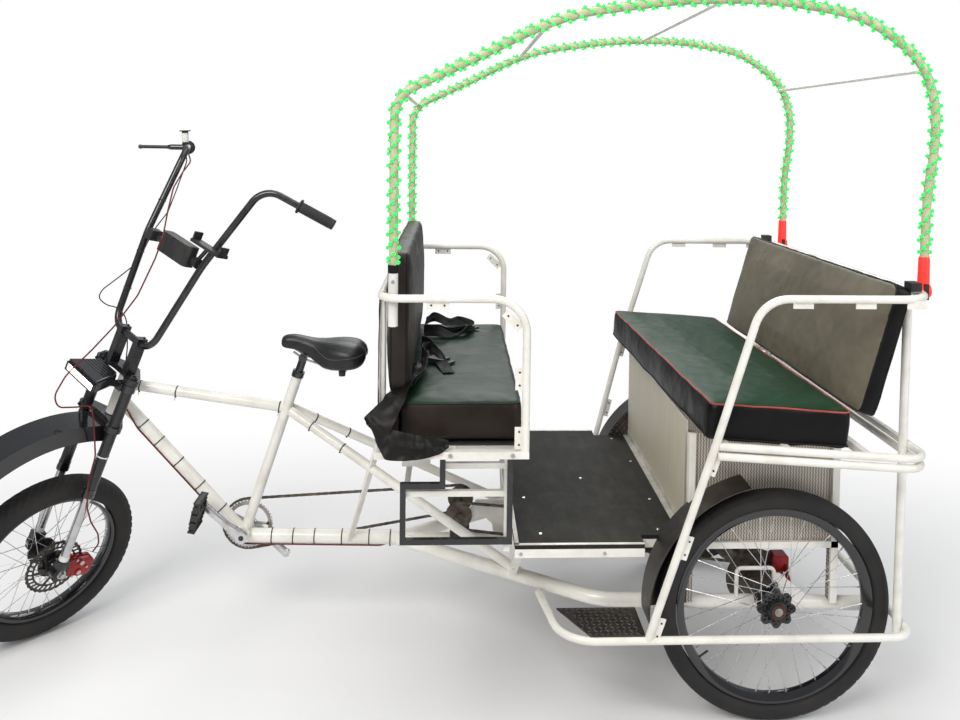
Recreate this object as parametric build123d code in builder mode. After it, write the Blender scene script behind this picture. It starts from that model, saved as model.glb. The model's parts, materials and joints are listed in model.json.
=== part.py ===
from build123d import *
from math import asin, atan2, cos, pi, radians, sin, sqrt, tan
import os

# A three-wheeled passenger cycle with two facing benches behind the rider.
# Millimetres. X runs rearward, Y to the rider's right, Z up, the ground is Z = 0.
# The origin is under the middle of the whole vehicle.

os.makedirs("parts", exist_ok=True)

GAP = 0.3                   # clearance where a curved or soft face seats on another piece

# Rear wheels
REAR_AXLE_X = 1056.0
REAR_TYRE_R = 340.0
REAR_TYRE_SECTION = 62.0
REAR_RIM_DEPTH = 29.7        # of the rim, inward from the tyre's bead
WHEEL_Y = 487.0             # middle of each rear wheel, from the centre line
REAR_HUB_LENGTH = 82.0
REAR_HUB_R = 24.0
REAR_FLANGE_R = 56.0
REAR_PIN_R = 8.5
REAR_SPOKES = 28
SPOKE_R = 1.6

# Front wheel
FRONT_TYRE_R = 290.0
FRONT_TYRE_SECTION = 84.0
FRONT_RIM_DEPTH = 14.8
FRONT_HUB_LENGTH = 128.0
FRONT_HUB_R = 26.0
FRONT_PIN_R = 7.0
RUNNING_GAP = 0.5           # between an axle pin and its hub
FRONT_SPOKES = 28

# Steering, turned to the left as the vehicle is parked
HEAD_X = -985.0
HEAD_Z = 795.0
HEAD_ANGLE = 20.5           # from the vertical
STEER_REST = 50.0           # to the left of straight ahead
FORK_OFFSET = 43.0
LEG_Y = 89.0
LEG_UPPER_R = 18.0
LEG_LOWER_R = 14.5
LEG_TOP = 124.0             # above the middle of the head tube, along the steering axis
LEG_SEAL = -285.0
LUG_HALF_X = 19.0           # of the lugs that hold the front axle
CROWN_THICK = 18.0
CROWN_TOP_Z = 101.0
CROWN_LOW_Z = -64.0
STEERER_R = 14.0
HEAD_TUBE_R = 24.0
HEAD_TUBE_TOP = 94.0
HEAD_TUBE_FOOT = -44.0

# Handlebar, in the steering frame
BAR_R = 11.5
BAR_FOOT = (-37.0, 112.0, 224.0)
BAR_MID = (-5.0, 168.0, 541.0)
BAR_TOP = (66.0, 226.0, 846.0)
BAR_END = (212.0, 424.0, 814.0)
GRIP_LENGTH = 128.0
GRIP_R = 17.0
RISER_Y = 52.0

ROTOR_Y, ROTOR_R, ROTOR_THICK = -56.0, 92.0, 2.5

# Rider's frame
BB_X, BB_Z = -566.0, 356.0
CRANK_LENGTH = 165.0
CRANK_ANGLE = 138.0         # of the left crank, from the rearward direction
CLUSTER_X, CLUSTER_Z = -420.0, 768.0
SADDLE_NOSE_X = -447.0
SADDLE_TOP_Z = 1005.0
SADDLE_THICK = 58.0
SADDLE_CLAMP_X, SADDLE_CLAMP_Z = -378.0, 930.0
SADDLE_POST_OUT = 128.0
TOP_TUBE_R, DOWN_TUBE_R, SEAT_TUBE_R, BOOM_R, STAY_R = 17.0, 21.0, 17.0, 24.0, 15.0
BOOM_Z = 325.0
BOOM_END_X = -52.0
SPINE_R = 16.0

# Chassis under the cabin
CHASSIS_R = 21.0
CHASSIS_Z = 322.0
CHASSIS_Y = 415.0
CHASSIS_KNEE_X = 560.0
SPINE_END_X = 650.0
GUARD_FRONT, GUARD_BACK, GUARD_RISE = 85.0, 27.0, 71.0   # hoop over each axle bearing
GUSSET_LONG = 116.0
RAIL_R = 11.0               # the bent cabin rails

# Cabin
POST_X = 1395.0
HOOP_Y = 545.0
HOOP_R = 9.5
COLLAR_R = 12.0
HOOP_FRONT_X = -44.0
ARM_BEND = 55.0             # of the front arms round the canopy sleeves, which stand inside them
SLEEVE_SET = ARM_BEND - (ARM_BEND - RAIL_R - COLLAR_R - GAP) * sqrt(0.5)
FRONT_ARM_Y = HOOP_Y + SLEEVE_SET
ARM_Z = 1243.0
REAR_ARM_Z = 1262.0
REAR_Y = 665.0              # rear arms and seat loop
OUTER_Y = 600.0
OUTER_Z = 300.0
REAR_RUN_X = POST_X + COLLAR_R + RAIL_R + GAP

# Front bench
BENCH_FRONT_X, BENCH_REAR_X = -90.0, 332.0
BENCH_Z = 825.0
BENCH_BAR = 20.0
CAGE_Y = 502.0              # the open cages under the bench
PAN_THICK = 5.0
BENCH_CUSHION_THICK = 122.0
BENCH_CUSHION_Y = 535.0
BENCH_BACK_THICK = 72.0
BENCH_BACK_TOP_Z = 1362.0
BENCH_BACK_Y = 500.0

# Foot space
FLOOR_FRONT_X = 303.0
FLOOR_Y = 500.0
FLOOR_Z = 525.0
FLOOR_THICK = 12.0
FLOOR_BAR = 25.0

# Rear seat
BOX_Y = 440.0
BOX_REAR_X = 1260.0
BOX_BASE_Z = 487.0
PANEL_THICK = 4.0
SEAT_TILT = 4.0
SEAT_FRONT_Z = 868.0
SEAT_CUSHION_DEPTH = 400.0
SEAT_CUSHION_THICK = 98.0
SEAT_CUSHION_Y = 648.0
BACK_TILT = 15.5
BACK_THICK = 54.0
BACK_HEIGHT = 385.0
BACK_FOOT_Z = 928.0
BACK_FOOT_X = (POST_X - HOOP_R - GAP - BACK_HEIGHT * sin(radians(BACK_TILT))
               - BACK_THICK * cos(radians(BACK_TILT)))
BACK_Y = 615.0
BACK_ROOM = 25.2            # between the cushion and the foot of the backrest
SEAT_FRONT_X = BACK_FOOT_X - SEAT_CUSHION_DEPTH * cos(radians(SEAT_TILT)) - BACK_ROOM
FLOOR_REAR_X = SEAT_FRONT_X + 2

# Fenders over the rear wheels
TYRE_ROOM = 32.0            # between a rear tyre and its fender
FENDER_R = REAR_TYRE_R + TYRE_ROOM
FENDER_THICK = 3.0
FENDER_START, FENDER_END = 104.0, 184.0
NOTCH_X = REAR_AXLE_X - FENDER_R - FENDER_THICK - 6
STEP_REAR_X = NOTCH_X - 15
STEP_LONG, STEP_INNER_Y = 230.0, 452.0
OUTER_TURN_Y = 330.0        # where the bottom rail turns outward from the chassis rails


def keep(piece, name):
    """Label one finished piece and write it."""
    piece.part.label = name
    export_step(piece.part, f"parts/{name}.step")


def pipe(points, bends, radius):
    """A round tube along straight runs joined by arcs; bends has a radius for each corner."""
    with BuildPart() as tube:
        with BuildLine() as route:
            if bends:
                FilletPolyline(*points, radius=bends)
            else:
                Line(*points)
        with BuildSketch(Plane(route.line @ 0, z_dir=route.line % 0)):
            Circle(radius)
        sweep()
    return tube.part


def bar(start, end, width, height, up=(0, 0, 1)):
    """A straight rectangular bar between two points."""
    run = Vector(*end) - Vector(*start)
    side = run.cross(Vector(*up))
    with BuildPart() as solid:
        with BuildSketch(Plane(start, x_dir=side, z_dir=run)):
            Rectangle(width, height)
        extrude(amount=run.length)
    return solid.part


def cord(points, radius):
    """A thin round tube whose arcs are as large as its runs leave room for."""
    knots = [Vector(*point) for point in points]
    runs = [b - a for a, b in zip(knots, knots[1:])]
    bends = [min(60, 0.45 * min(a.length, b.length) / tan(radians(a.get_angle(b)) / 2))
             for a, b in zip(runs, runs[1:])]
    return pipe([tuple(knot) for knot in knots], bends, radius)


def both(points):
    """A route from the left end round to the right end, mirrored about the centre line."""
    return list(points) + [(x, -y, z) for x, y, z in reversed(points)]


# Steering frame: local X back, local Y right, local Z up the steering axis
axis_up = Vector(sin(radians(HEAD_ANGLE)), 0, cos(radians(HEAD_ANGLE)))
axis_back = Vector(cos(radians(HEAD_ANGLE)), 0, -sin(radians(HEAD_ANGLE)))
steer_back = axis_back.rotate(Axis((0, 0, 0), axis_up), STEER_REST)
STEER = Plane((HEAD_X, 0, HEAD_Z), x_dir=steer_back, z_dir=axis_up)
HEAD = Plane((HEAD_X, 0, HEAD_Z), x_dir=axis_back, z_dir=axis_up)

# The leaning front wheel touches the ground where its tyre is lowest
def tyre_outline(radius, section):
    """The outer half of a tyre's section, as (across, radius) points in straight facets."""
    half = section / 2
    return [(half * 0.62, radius - section * 0.86), (half * 0.93, radius - section * 0.66),
            (half, radius - section * 0.42), (half * 0.8, radius - section * 0.14), (half * 0.36, radius)]


lean = sin(radians(HEAD_ANGLE)) * sin(radians(STEER_REST))
front_axle_z = max(r * sqrt(1 - lean ** 2) + across * lean
                   for across, r in tyre_outline(FRONT_TYRE_R, FRONT_TYRE_SECTION))
offset_rise = FORK_OFFSET * sin(radians(HEAD_ANGLE)) * cos(radians(STEER_REST))
AXLE_DROP = (HEAD_Z + offset_rise - front_axle_z) / cos(radians(HEAD_ANGLE))


def steered(x, y, z):
    """A point of the steering frame in the vehicle's frame."""
    return STEER.from_local_coords(Vector(x, y, z))


def steered_plane(origin, z_dir, x_dir):
    """A plane given in the steering frame."""
    base = STEER.from_local_coords(Vector(0, 0, 0))
    return Plane(
        steered(*origin),
        x_dir=steered(*x_dir) - base,
        z_dir=steered(*z_dir) - base,
    )


# Rider's frame
with BuildPart() as head_tube:
    with BuildSketch(HEAD.offset(HEAD_TUBE_FOOT)):
        Circle(HEAD_TUBE_R)
    extrude(amount=HEAD_TUBE_TOP - HEAD_TUBE_FOOT)
    with BuildSketch(HEAD.offset(HEAD_TUBE_FOOT)):
        Circle(STEERER_R + 1)
    extrude(amount=HEAD_TUBE_TOP - HEAD_TUBE_FOOT, mode=Mode.SUBTRACT)
keep(head_tube, "head_tube")

top_start = HEAD.from_local_coords(Vector(HEAD_TUBE_R - 6, 0, 64))
down_start = HEAD.from_local_coords(Vector(HEAD_TUBE_R - 6, 0, 2))
seat_run = Vector(SADDLE_CLAMP_X - BB_X, 0, SADDLE_CLAMP_Z - BB_Z).normalized()
seat_tube_top = Vector(BB_X, 0, BB_Z) + seat_run * 490
BB_SHELL_R, BB_SHELL_HALF, SPINDLE_R = 21.0, 36.0, 9.0

with BuildPart() as seat_tube:
    add(pipe([(BB_X, 0, BB_Z), tuple(seat_tube_top)], None, SEAT_TUBE_R))
    with BuildSketch(Plane.XZ.offset(-BB_SHELL_HALF)):
        with Locations((BB_X, BB_Z)):
            Circle(BB_SHELL_R)
    extrude(amount=2 * BB_SHELL_HALF)
    with BuildSketch(Plane.XZ.offset(-BB_SHELL_HALF)):
        with Locations((BB_X, BB_Z)):
            Circle(SPINDLE_R + 1)
    extrude(amount=2 * BB_SHELL_HALF, mode=Mode.SUBTRACT)
keep(seat_tube, "seat_tube")

with BuildPart() as top_tube:
    add(pipe([tuple(top_start), (CLUSTER_X - 0.75 * SEAT_TUBE_R, 0, CLUSTER_Z + 2)], None, TOP_TUBE_R))
    add(head_tube.part, mode=Mode.SUBTRACT)
    with BuildSketch(HEAD.offset(HEAD_TUBE_FOOT)):
        Circle(HEAD_TUBE_R)
    extrude(amount=HEAD_TUBE_TOP - HEAD_TUBE_FOOT, mode=Mode.SUBTRACT)
    add(seat_tube.part, mode=Mode.SUBTRACT)
keep(top_tube, "top_tube")

with BuildPart() as down_tube:
    add(pipe([tuple(down_start), (BB_X - 10, 0, BB_Z - 6)], None, DOWN_TUBE_R))
    with BuildSketch(HEAD.offset(HEAD_TUBE_FOOT)):
        Circle(HEAD_TUBE_R)
    extrude(amount=HEAD_TUBE_TOP - HEAD_TUBE_FOOT, mode=Mode.SUBTRACT)
    with BuildSketch(Plane.XZ.offset(-BB_SHELL_HALF)):
        with Locations((BB_X, BB_Z)):
            Circle(BB_SHELL_R)
    extrude(amount=2 * BB_SHELL_HALF, mode=Mode.SUBTRACT)
    add(seat_tube.part, mode=Mode.SUBTRACT)
keep(down_tube, "down_tube")

with BuildPart() as boom_tube:
    add(pipe([(BB_X + 8, 0, BB_Z - 20), (BOOM_END_X, 0, BOOM_Z)], None, BOOM_R))
    add(pipe([(BOOM_END_X, 0, BOOM_Z), (SPINE_END_X, 0, BOOM_Z)], None, SPINE_R))
    with BuildSketch(Plane.XZ.offset(-BB_SHELL_HALF)):
        with Locations((BB_X, BB_Z)):
            Circle(BB_SHELL_R)
    extrude(amount=2 * BB_SHELL_HALF, mode=Mode.SUBTRACT)
    add(seat_tube.part, mode=Mode.SUBTRACT)
    add(down_tube.part, mode=Mode.SUBTRACT)
keep(boom_tube, "boom_tube")


def chassis_rail(side):
    """A rail from the boom's end outward, then back beside the wheel, with its guard over the axle."""
    start = (BOOM_END_X, side * 8, CHASSIS_Z)
    knee = (CHASSIS_KNEE_X, side * CHASSIS_Y, CHASSIS_Z)
    end = (REAR_RUN_X - RAIL_R, side * CHASSIS_Y, OUTER_Z)
    with BuildPart() as rail:
        add(pipe([start, knee, end], [160], CHASSIS_R))
        low, high = CHASSIS_Z - 8, REAR_TYRE_R + GUARD_RISE
        front, back = REAR_AXLE_X - GUARD_FRONT, REAR_AXLE_X + GUARD_BACK
        guard = [(front, low), (front, high), (back, high), (back, low)]
        add(pipe([(x, side * CHASSIS_Y, z) for x, z in guard], [14, 14], 6))
        with BuildSketch(Plane.XZ.offset(-side * CHASSIS_Y - 3)):
            with BuildLine():
                Polyline((back, low), (back, high - 16), (back + 18, high - 16), (back + GUSSET_LONG, low),
                         close=True)
            make_face()
        extrude(amount=6)
        with BuildSketch(Plane.XY.offset(CHASSIS_Z - 60)):
            with Locations((BOOM_END_X, -side * 100)):
                Rectangle(400, 200)
        extrude(amount=120, mode=Mode.SUBTRACT)
        add(boom_tube.part, mode=Mode.SUBTRACT)
    return rail


with BuildPart() as outer_rail:
    step_front_x = STEP_REAR_X - STEP_LONG
    add(pipe(both([(step_front_x - 40, -OUTER_TURN_Y, OUTER_Z), (step_front_x, -OUTER_Y, OUTER_Z),
                   (REAR_RUN_X, -OUTER_Y, OUTER_Z)]),
             [110, 60, 60, 110], RAIL_R))

left_rail = chassis_rail(-1)
right_rail = chassis_rail(1)
with BuildPart() as chassis_rail_left:
    add(left_rail.part)
    add(outer_rail.part, mode=Mode.SUBTRACT)
with BuildPart() as chassis_rail_right:
    add(right_rail.part)
    add(outer_rail.part, mode=Mode.SUBTRACT)
keep(outer_rail, "outer_rail")
keep(chassis_rail_left, "chassis_rail_left")
keep(chassis_rail_right, "chassis_rail_right")

STAY_END_X = 340.0
STAY_END_Y = CHASSIS_Y * (STAY_END_X - BOOM_END_X) / (CHASSIS_KNEE_X - BOOM_END_X)
with BuildPart() as stays:
    for side in (-1, 1):
        add(pipe([(CLUSTER_X + 4, side * 18, CLUSTER_Z - 4), (STAY_END_X, side * STAY_END_Y, CHASSIS_Z + 6)],
                 None, STAY_R))
    for solid in (seat_tube, top_tube, chassis_rail_left, chassis_rail_right):
        add(solid.part, mode=Mode.SUBTRACT)
keep(stays, "stays")

# Saddle on its post
SADDLE_RAIL_R = 3.5
with BuildPart() as saddle_post:
    clamp = seat_tube_top + seat_run * SADDLE_POST_OUT
    add(pipe([tuple(seat_tube_top), tuple(clamp)], None, 13.5))
    with BuildSketch(Plane(seat_tube_top, z_dir=seat_run)):
        Circle(SEAT_TUBE_R + 4)
    extrude(amount=22)
    with BuildSketch(Plane.XZ.offset(-27)):
        with Locations((clamp.X, clamp.Z)):
            Circle(14)
    extrude(amount=54)
    for side in (-1, 1):
        rail_ends = [(clamp.X - 32, side * 18, clamp.Z + 19), (clamp.X + 145, side * 23, clamp.Z - 43)]
        add(pipe(rail_ends, None, SADDLE_RAIL_R))
keep(saddle_post, "saddle_post")

# Sections of the saddle: distance behind the nose, half width, top, depth
SADDLE_SECTIONS = [(0, 14, -20, 22), (50, 22, 0, 44), (130, 38, -5, 70), (205, 74, -14, 104),
                   (262, 76, -20, 104), (283, 58, -30, 74)]
with BuildPart() as saddle:
    for back, half, top, depth in SADDLE_SECTIONS:
        with BuildSketch(Plane.YZ.offset(SADDLE_NOSE_X + back)):
            with Locations((0, SADDLE_TOP_Z + top - depth / 2)):
                RectangleRounded(2 * half, depth, min(half, depth / 2) * 0.8)
    loft()
    add(saddle_post.part, mode=Mode.SUBTRACT)
keep(saddle, "saddle")

# Front bench
BENCH_STRUT_X, BENCH_POST_Y, BENCH_POST_R = -216.0, 470.0, 10.0
with BuildPart() as bench_frame:
    width = 2 * (FRONT_ARM_Y + BENCH_BAR / 2)
    depth = BENCH_REAR_X - BENCH_FRONT_X
    middle = (BENCH_REAR_X + BENCH_FRONT_X) / 2
    with BuildSketch(Plane.XY.offset(BENCH_Z - BENCH_BAR)):
        with Locations((middle, 0)):
            Rectangle(depth, width)
            Rectangle(depth - 2 * BENCH_BAR, width - 2 * BENCH_BAR, mode=Mode.SUBTRACT)
            Rectangle(BENCH_BAR, width)
            with Locations((0, -CAGE_Y), (0, CAGE_Y)):
                Rectangle(depth, BENCH_BAR)
    extrude(amount=BENCH_BAR)
    for side in (-1, 1):
        add(bar((BENCH_FRONT_X + 10, side * 180, BENCH_Z - BENCH_BAR),
                (BENCH_STRUT_X, side * (BOOM_R + 2), BOOM_Z + 4), 20, 6))
    add(boom_tube.part, mode=Mode.SUBTRACT)
    add(stays.part, mode=Mode.SUBTRACT)
keep(bench_frame, "bench_frame")

with BuildPart() as bench_pan:
    with BuildSketch(Plane.XY.offset(BENCH_Z)):
        with Locations(((BENCH_REAR_X + BENCH_FRONT_X) / 2 + 16, 0)):
            Rectangle(BENCH_REAR_X - BENCH_FRONT_X - 56, 2 * BENCH_CUSHION_Y)
    extrude(amount=PAN_THICK)
keep(bench_pan, "bench_pan")

with BuildPart() as bench_cushion:
    with BuildSketch(Plane.XY.offset(BENCH_Z + PAN_THICK)):
        with Locations((143, 0)):
            RectangleRounded(358, 2 * BENCH_CUSHION_Y, 28)
    extrude(amount=BENCH_CUSHION_THICK)
    fillet(bench_cushion.faces().sort_by(Axis.Z)[-1].edges(), 22)
keep(bench_cushion, "bench_cushion")

bench_back_z = BENCH_Z + PAN_THICK + BENCH_CUSHION_THICK + GAP
bench_arm_front_x = HOOP_FRONT_X - SLEEVE_SET
with BuildPart() as bench_backrest:
    with BuildSketch(Plane.YZ.offset(bench_arm_front_x + RAIL_R + GAP)):
        with Locations((0, (bench_back_z + BENCH_BACK_TOP_Z) / 2)):
            RectangleRounded(2 * BENCH_BACK_Y, BENCH_BACK_TOP_Z - bench_back_z, 34)
    extrude(amount=BENCH_BACK_THICK)
    fillet(bench_backrest.faces().sort_by(Axis.X)[-1].edges(), 24)
keep(bench_backrest, "bench_backrest")

with BuildPart() as bench_arm_rail:
    leg_x = BENCH_REAR_X - BENCH_BAR / 2
    add(pipe(both([(leg_x, -FRONT_ARM_Y, BENCH_Z), (leg_x, -FRONT_ARM_Y, ARM_Z),
                   (bench_arm_front_x, -FRONT_ARM_Y, ARM_Z)]), [95, ARM_BEND, ARM_BEND, 95], RAIL_R))
keep(bench_arm_rail, "bench_arm_rail")

with BuildPart() as bench_posts:
    for side in (-1, 1):
        foot, head = [(bench_arm_front_x, side * BENCH_POST_Y, z) for z in (BENCH_Z, ARM_Z)]
        add(pipe([foot, head], None, BENCH_POST_R))
    add(bench_arm_rail.part, mode=Mode.SUBTRACT)
keep(bench_posts, "bench_posts")

# Posts and bars between the bench and the foot space, and the open side cages
CAGE_BAR = 16.0
CAGE_FRONT_X, CAGE_STEP_X, CAGE_REAR_X = -15.0, 96.0, 286.0
CAGE_LOW_Z, CAGE_STEP_Z = 540.0, 700.0
frame_z = FLOOR_Z - FLOOR_THICK

with BuildPart() as side_cages:
    cage_top = BENCH_Z - BENCH_BAR - CAGE_BAR / 2
    outline = [(CAGE_STEP_X, cage_top), (CAGE_STEP_X, CAGE_STEP_Z), (CAGE_FRONT_X, CAGE_STEP_Z),
               (CAGE_FRONT_X, CAGE_LOW_Z), (CAGE_REAR_X, CAGE_LOW_Z), (CAGE_REAR_X, cage_top)]
    for side in (-1, 1):
        with BuildSketch(Plane.XZ.offset(-side * CAGE_Y - CAGE_BAR / 2)):
            for (x0, z0), (x1, z1) in zip(outline, outline[1:]):
                with Locations(((x0 + x1) / 2, (z0 + z1) / 2)):
                    Rectangle(abs(x1 - x0) + CAGE_BAR, abs(z1 - z0) + CAGE_BAR)
        extrude(amount=CAGE_BAR)
keep(side_cages, "side_cages")

UNDER_BAR, UNDER_LOW_Z, UNDER_HIGH_Z = 16.0, 672.0, 752.0
SHAFT_X, SHAFT_Z, SHAFT_SPROCKET_R, CHAIN_Y = 150.0, 440.0, 40.0, 48.0
SHAFT_BLOCK_Y, SHAFT_BLOCK_WIDE = 72.0, 18.0
with BuildPart() as under_bench:
    for side in (-1, 1):
        y = side * (CAGE_Y - CAGE_BAR / 2 - UNDER_BAR / 2)
        post_x = FLOOR_FRONT_X - 24
        add(bar((post_x, y, frame_z - 8), (post_x, y, BENCH_Z - BENCH_BAR), UNDER_BAR, UNDER_BAR, up=(1, 0, 0)))
        add(bar((CAGE_FRONT_X, y, UNDER_LOW_Z), (post_x, y, UNDER_LOW_Z), UNDER_BAR, UNDER_BAR))
        add(bar((CAGE_STEP_X, y, UNDER_HIGH_Z), (post_x, y, UNDER_HIGH_Z), UNDER_BAR, UNDER_BAR))
    end = CAGE_Y - CAGE_BAR / 2
    for x in (CAGE_FRONT_X + 8, FLOOR_FRONT_X - 24):
        add(bar((x, -end, UNDER_LOW_Z), (x, end, UNDER_LOW_Z), UNDER_BAR, UNDER_BAR))
    add(stays.part, mode=Mode.SUBTRACT)
keep(under_bench, "under_bench")

# Plate of the chain tensioner, hangers under the bench
HOOK_PLATE_THICK, HANGER_Y, HANGER_X = 5.0, 455.0, 20.0
HOOK_OUTLINE = [(166, 430), (178, 452), (205, 488), (FLOOR_FRONT_X - GAP, 488), (FLOOR_FRONT_X - GAP, 376),
                (262, 376), (256, 408), (236, 426), (212, 430), (200, 418), (188, 420)]
with BuildPart() as hook_plate:
    with BuildSketch(Plane.XZ.offset(SHAFT_BLOCK_Y + SHAFT_BLOCK_WIDE / 2 + GAP)):
        with BuildLine():
            Polyline(*HOOK_OUTLINE, close=True)
        make_face()
    extrude(amount=HOOK_PLATE_THICK)
    low, high = BENCH_Z - BENCH_BAR - 62, BENCH_Z - BENCH_BAR
    for side in (-1, 1):
        with BuildSketch(Plane.XZ.offset(-side * HANGER_Y - 16)):
            with BuildLine():
                Polyline((HANGER_X - 20, high), (HANGER_X - 40, low + 12), (HANGER_X - 40, low),
                         (HANGER_X + 40, low), (HANGER_X + 40, low + 12), (HANGER_X + 20, high), close=True)
            make_face()
        extrude(amount=32)
        add(bar((BENCH_FRONT_X + BENCH_BAR, side * HANGER_Y, high + BENCH_BAR / 2),
                (BENCH_FRONT_X + 200, side * HANGER_Y, high + BENCH_BAR / 2), 20, BENCH_BAR))
    add(bench_frame.part, mode=Mode.SUBTRACT)
keep(hook_plate, "hook_plate")

# Foot space, with its rear corners cut back inside the wheels
NOTCH_Y = BOX_Y
STRUT = 20.0
notch = FLOOR_REAR_X - NOTCH_X
with BuildPart() as platform_frame:
    front, rear = FLOOR_FRONT_X, FLOOR_REAR_X
    with BuildSketch(Plane.XY.offset(frame_z - FLOOR_BAR)):
        with Locations(((front + rear) / 2, 0)):
            Rectangle(rear - front, 2 * FLOOR_Y)
        for side in (-1, 1):
            with Locations((rear, side * FLOOR_Y)):
                Rectangle(2 * notch, 2 * (FLOOR_Y - NOTCH_Y), mode=Mode.SUBTRACT)
        bay_x, bay_y = (NOTCH_X - front - 2 * FLOOR_BAR) / 2, (2 * NOTCH_Y - 4 * FLOOR_BAR) / 3
        for column in (0, 1):
            for row in (-1, 0, 1):
                middle_x = front + FLOOR_BAR + bay_x / 2 + column * (bay_x + FLOOR_BAR)
                with Locations((middle_x, row * (bay_y + FLOOR_BAR))):
                    Rectangle(bay_x, bay_y, mode=Mode.SUBTRACT)
    extrude(amount=FLOOR_BAR)
    for x in (front + FLOOR_BAR / 2, rear - FLOOR_BAR / 2):
        slope_y = CHASSIS_Y * min(1, (x - BOOM_END_X) / (CHASSIS_KNEE_X - BOOM_END_X))
        for side in (-1, 1):
            add(bar((x, side * slope_y, CHASSIS_Z), (x, side * slope_y, frame_z - FLOOR_BAR),
                    STRUT, STRUT, up=(1, 0, 0)))
    for side in (-1, 1):
        x = front + FLOOR_BAR / 2
        slope_y = CHASSIS_Y * (x - BOOM_END_X) / (CHASSIS_KNEE_X - BOOM_END_X)
        add(bar((x, side * slope_y, CHASSIS_Z), (x, side * (FLOOR_Y - 14), frame_z - FLOOR_BAR / 2),
                STRUT, STRUT, up=(1, 0, 0)))
    with BuildSketch(Plane.XY.offset(frame_z)):
        Rectangle(4 * FLOOR_REAR_X, 4 * FLOOR_Y)
    extrude(amount=FLOOR_BAR, mode=Mode.SUBTRACT)
    for solid in (chassis_rail_left, chassis_rail_right, stays):
        add(solid.part, mode=Mode.SUBTRACT)
keep(platform_frame, "platform_frame")

with BuildPart() as platform_floor:
    with BuildSketch(Plane.XY.offset(frame_z)):
        with Locations(((FLOOR_FRONT_X + FLOOR_REAR_X) / 2, 0)):
            Rectangle(FLOOR_REAR_X - FLOOR_FRONT_X, 2 * FLOOR_Y)
        for side in (-1, 1):
            with Locations((FLOOR_REAR_X, side * FLOOR_Y)):
                Rectangle(2 * notch, 2 * (FLOOR_Y - NOTCH_Y), mode=Mode.SUBTRACT)
    extrude(amount=FLOOR_THICK)
keep(platform_floor, "platform_floor")

# Box under the rear seat
SEAT = Plane(
    (SEAT_FRONT_X, 0, SEAT_FRONT_Z),
    x_dir=(cos(radians(SEAT_TILT)), 0, -sin(radians(SEAT_TILT))),
    z_dir=(sin(radians(SEAT_TILT)), 0, cos(radians(SEAT_TILT))),
)
LOOP_DROP = 27.0
pan_low = SEAT.from_local_coords(Vector(0, 0, -LOOP_DROP - RAIL_R))


def seat_under_z(x):
    """Height of the underside of the seat frame."""
    return pan_low.Z - (x - SEAT_FRONT_X) * tan(radians(SEAT_TILT))


with BuildPart() as box_front:
    with BuildSketch(Plane.YZ.offset(FLOOR_REAR_X)):
        low, high = FLOOR_Z - FLOOR_THICK - FLOOR_BAR, seat_under_z(FLOOR_REAR_X + PANEL_THICK)
        with Locations((0, (low + high) / 2)):
            Rectangle(2 * BOX_Y, high - low)
    extrude(amount=PANEL_THICK)
keep(box_front, "box_front")

with BuildPart() as box_sides:
    for side in (-1, 1):
        x0, x1 = FLOOR_REAR_X + PANEL_THICK, BOX_REAR_X
        with BuildSketch(Plane.XZ.offset(-side * BOX_Y - (PANEL_THICK if side < 0 else 0))):
            with BuildLine():
                Polyline((x0, BOX_BASE_Z), (x1, BOX_BASE_Z), (x1, seat_under_z(x1)), (x0, seat_under_z(x0)),
                         close=True)
            make_face()
        extrude(amount=PANEL_THICK)
    post_y, foot_y, low = BOX_Y - PANEL_THICK - STRUT / 2, BOX_Y - 14, BOX_BASE_Z - STRUT / 2
    for x in (FLOOR_REAR_X + PANEL_THICK + STRUT / 2, BOX_REAR_X - STRUT / 2):
        add(bar((x, -BOX_Y + PANEL_THICK, low), (x, BOX_Y - PANEL_THICK, low), STRUT, STRUT))
        for side in (-1, 1):
            add(bar((x, side * post_y, BOX_BASE_Z), (x, side * post_y, seat_under_z(x) - 2),
                    STRUT, STRUT, up=(1, 0, 0)))
            add(bar((x, side * foot_y, low), (x, side * foot_y, CHASSIS_Z), STRUT, STRUT, up=(1, 0, 0)))
    for solid in (chassis_rail_left, chassis_rail_right):
        add(solid.part, mode=Mode.SUBTRACT)
keep(box_sides, "box_frame")

# Rear seat
with BuildPart() as rear_arm_rail:
    add(pipe(both([(STEP_REAR_X + 6, -OUTER_Y, OUTER_Z), (SEAT_FRONT_X + 12, -REAR_Y, SEAT_FRONT_Z - 18),
                   (SEAT_FRONT_X + 136, -REAR_Y, REAR_ARM_Z), (REAR_RUN_X, -REAR_Y, REAR_ARM_Z)]),
             [150, 95, 105, 105, 95, 150], RAIL_R))
    add(outer_rail.part, mode=Mode.SUBTRACT)
keep(rear_arm_rail, "rear_arm_rail")


def seated(x, y, z):
    """A point of the tilted seat plane in the vehicle's frame."""
    return tuple(SEAT.from_local_coords(Vector(x, y, z)))


seat_run_x = (REAR_RUN_X - SEAT_FRONT_X) / cos(radians(SEAT_TILT)) - 3
with BuildPart() as seat_loop:
    for drop in (0, -LOOP_DROP):
        add(pipe(both([seated(24, -REAR_Y, drop), seated(seat_run_x, -REAR_Y, drop)]), [75, 75], RAIL_R))
    for x in (42, 210, 430):
        add(bar(seated(x, -REAR_Y, RAIL_R - 10), seated(x, REAR_Y, RAIL_R - 10), 20, 20, up=SEAT.z_dir))
    add(rear_arm_rail.part, mode=Mode.SUBTRACT)
keep(seat_loop, "seat_loop")

with BuildPart() as seat_pan:
    with BuildSketch(SEAT.offset(RAIL_R + GAP)):
        with Locations((SEAT_CUSHION_DEPTH / 2, 0)):
            Rectangle(SEAT_CUSHION_DEPTH - 20, 2 * SEAT_CUSHION_Y - 20)
    extrude(amount=6)
keep(seat_pan, "seat_pan")

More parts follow.
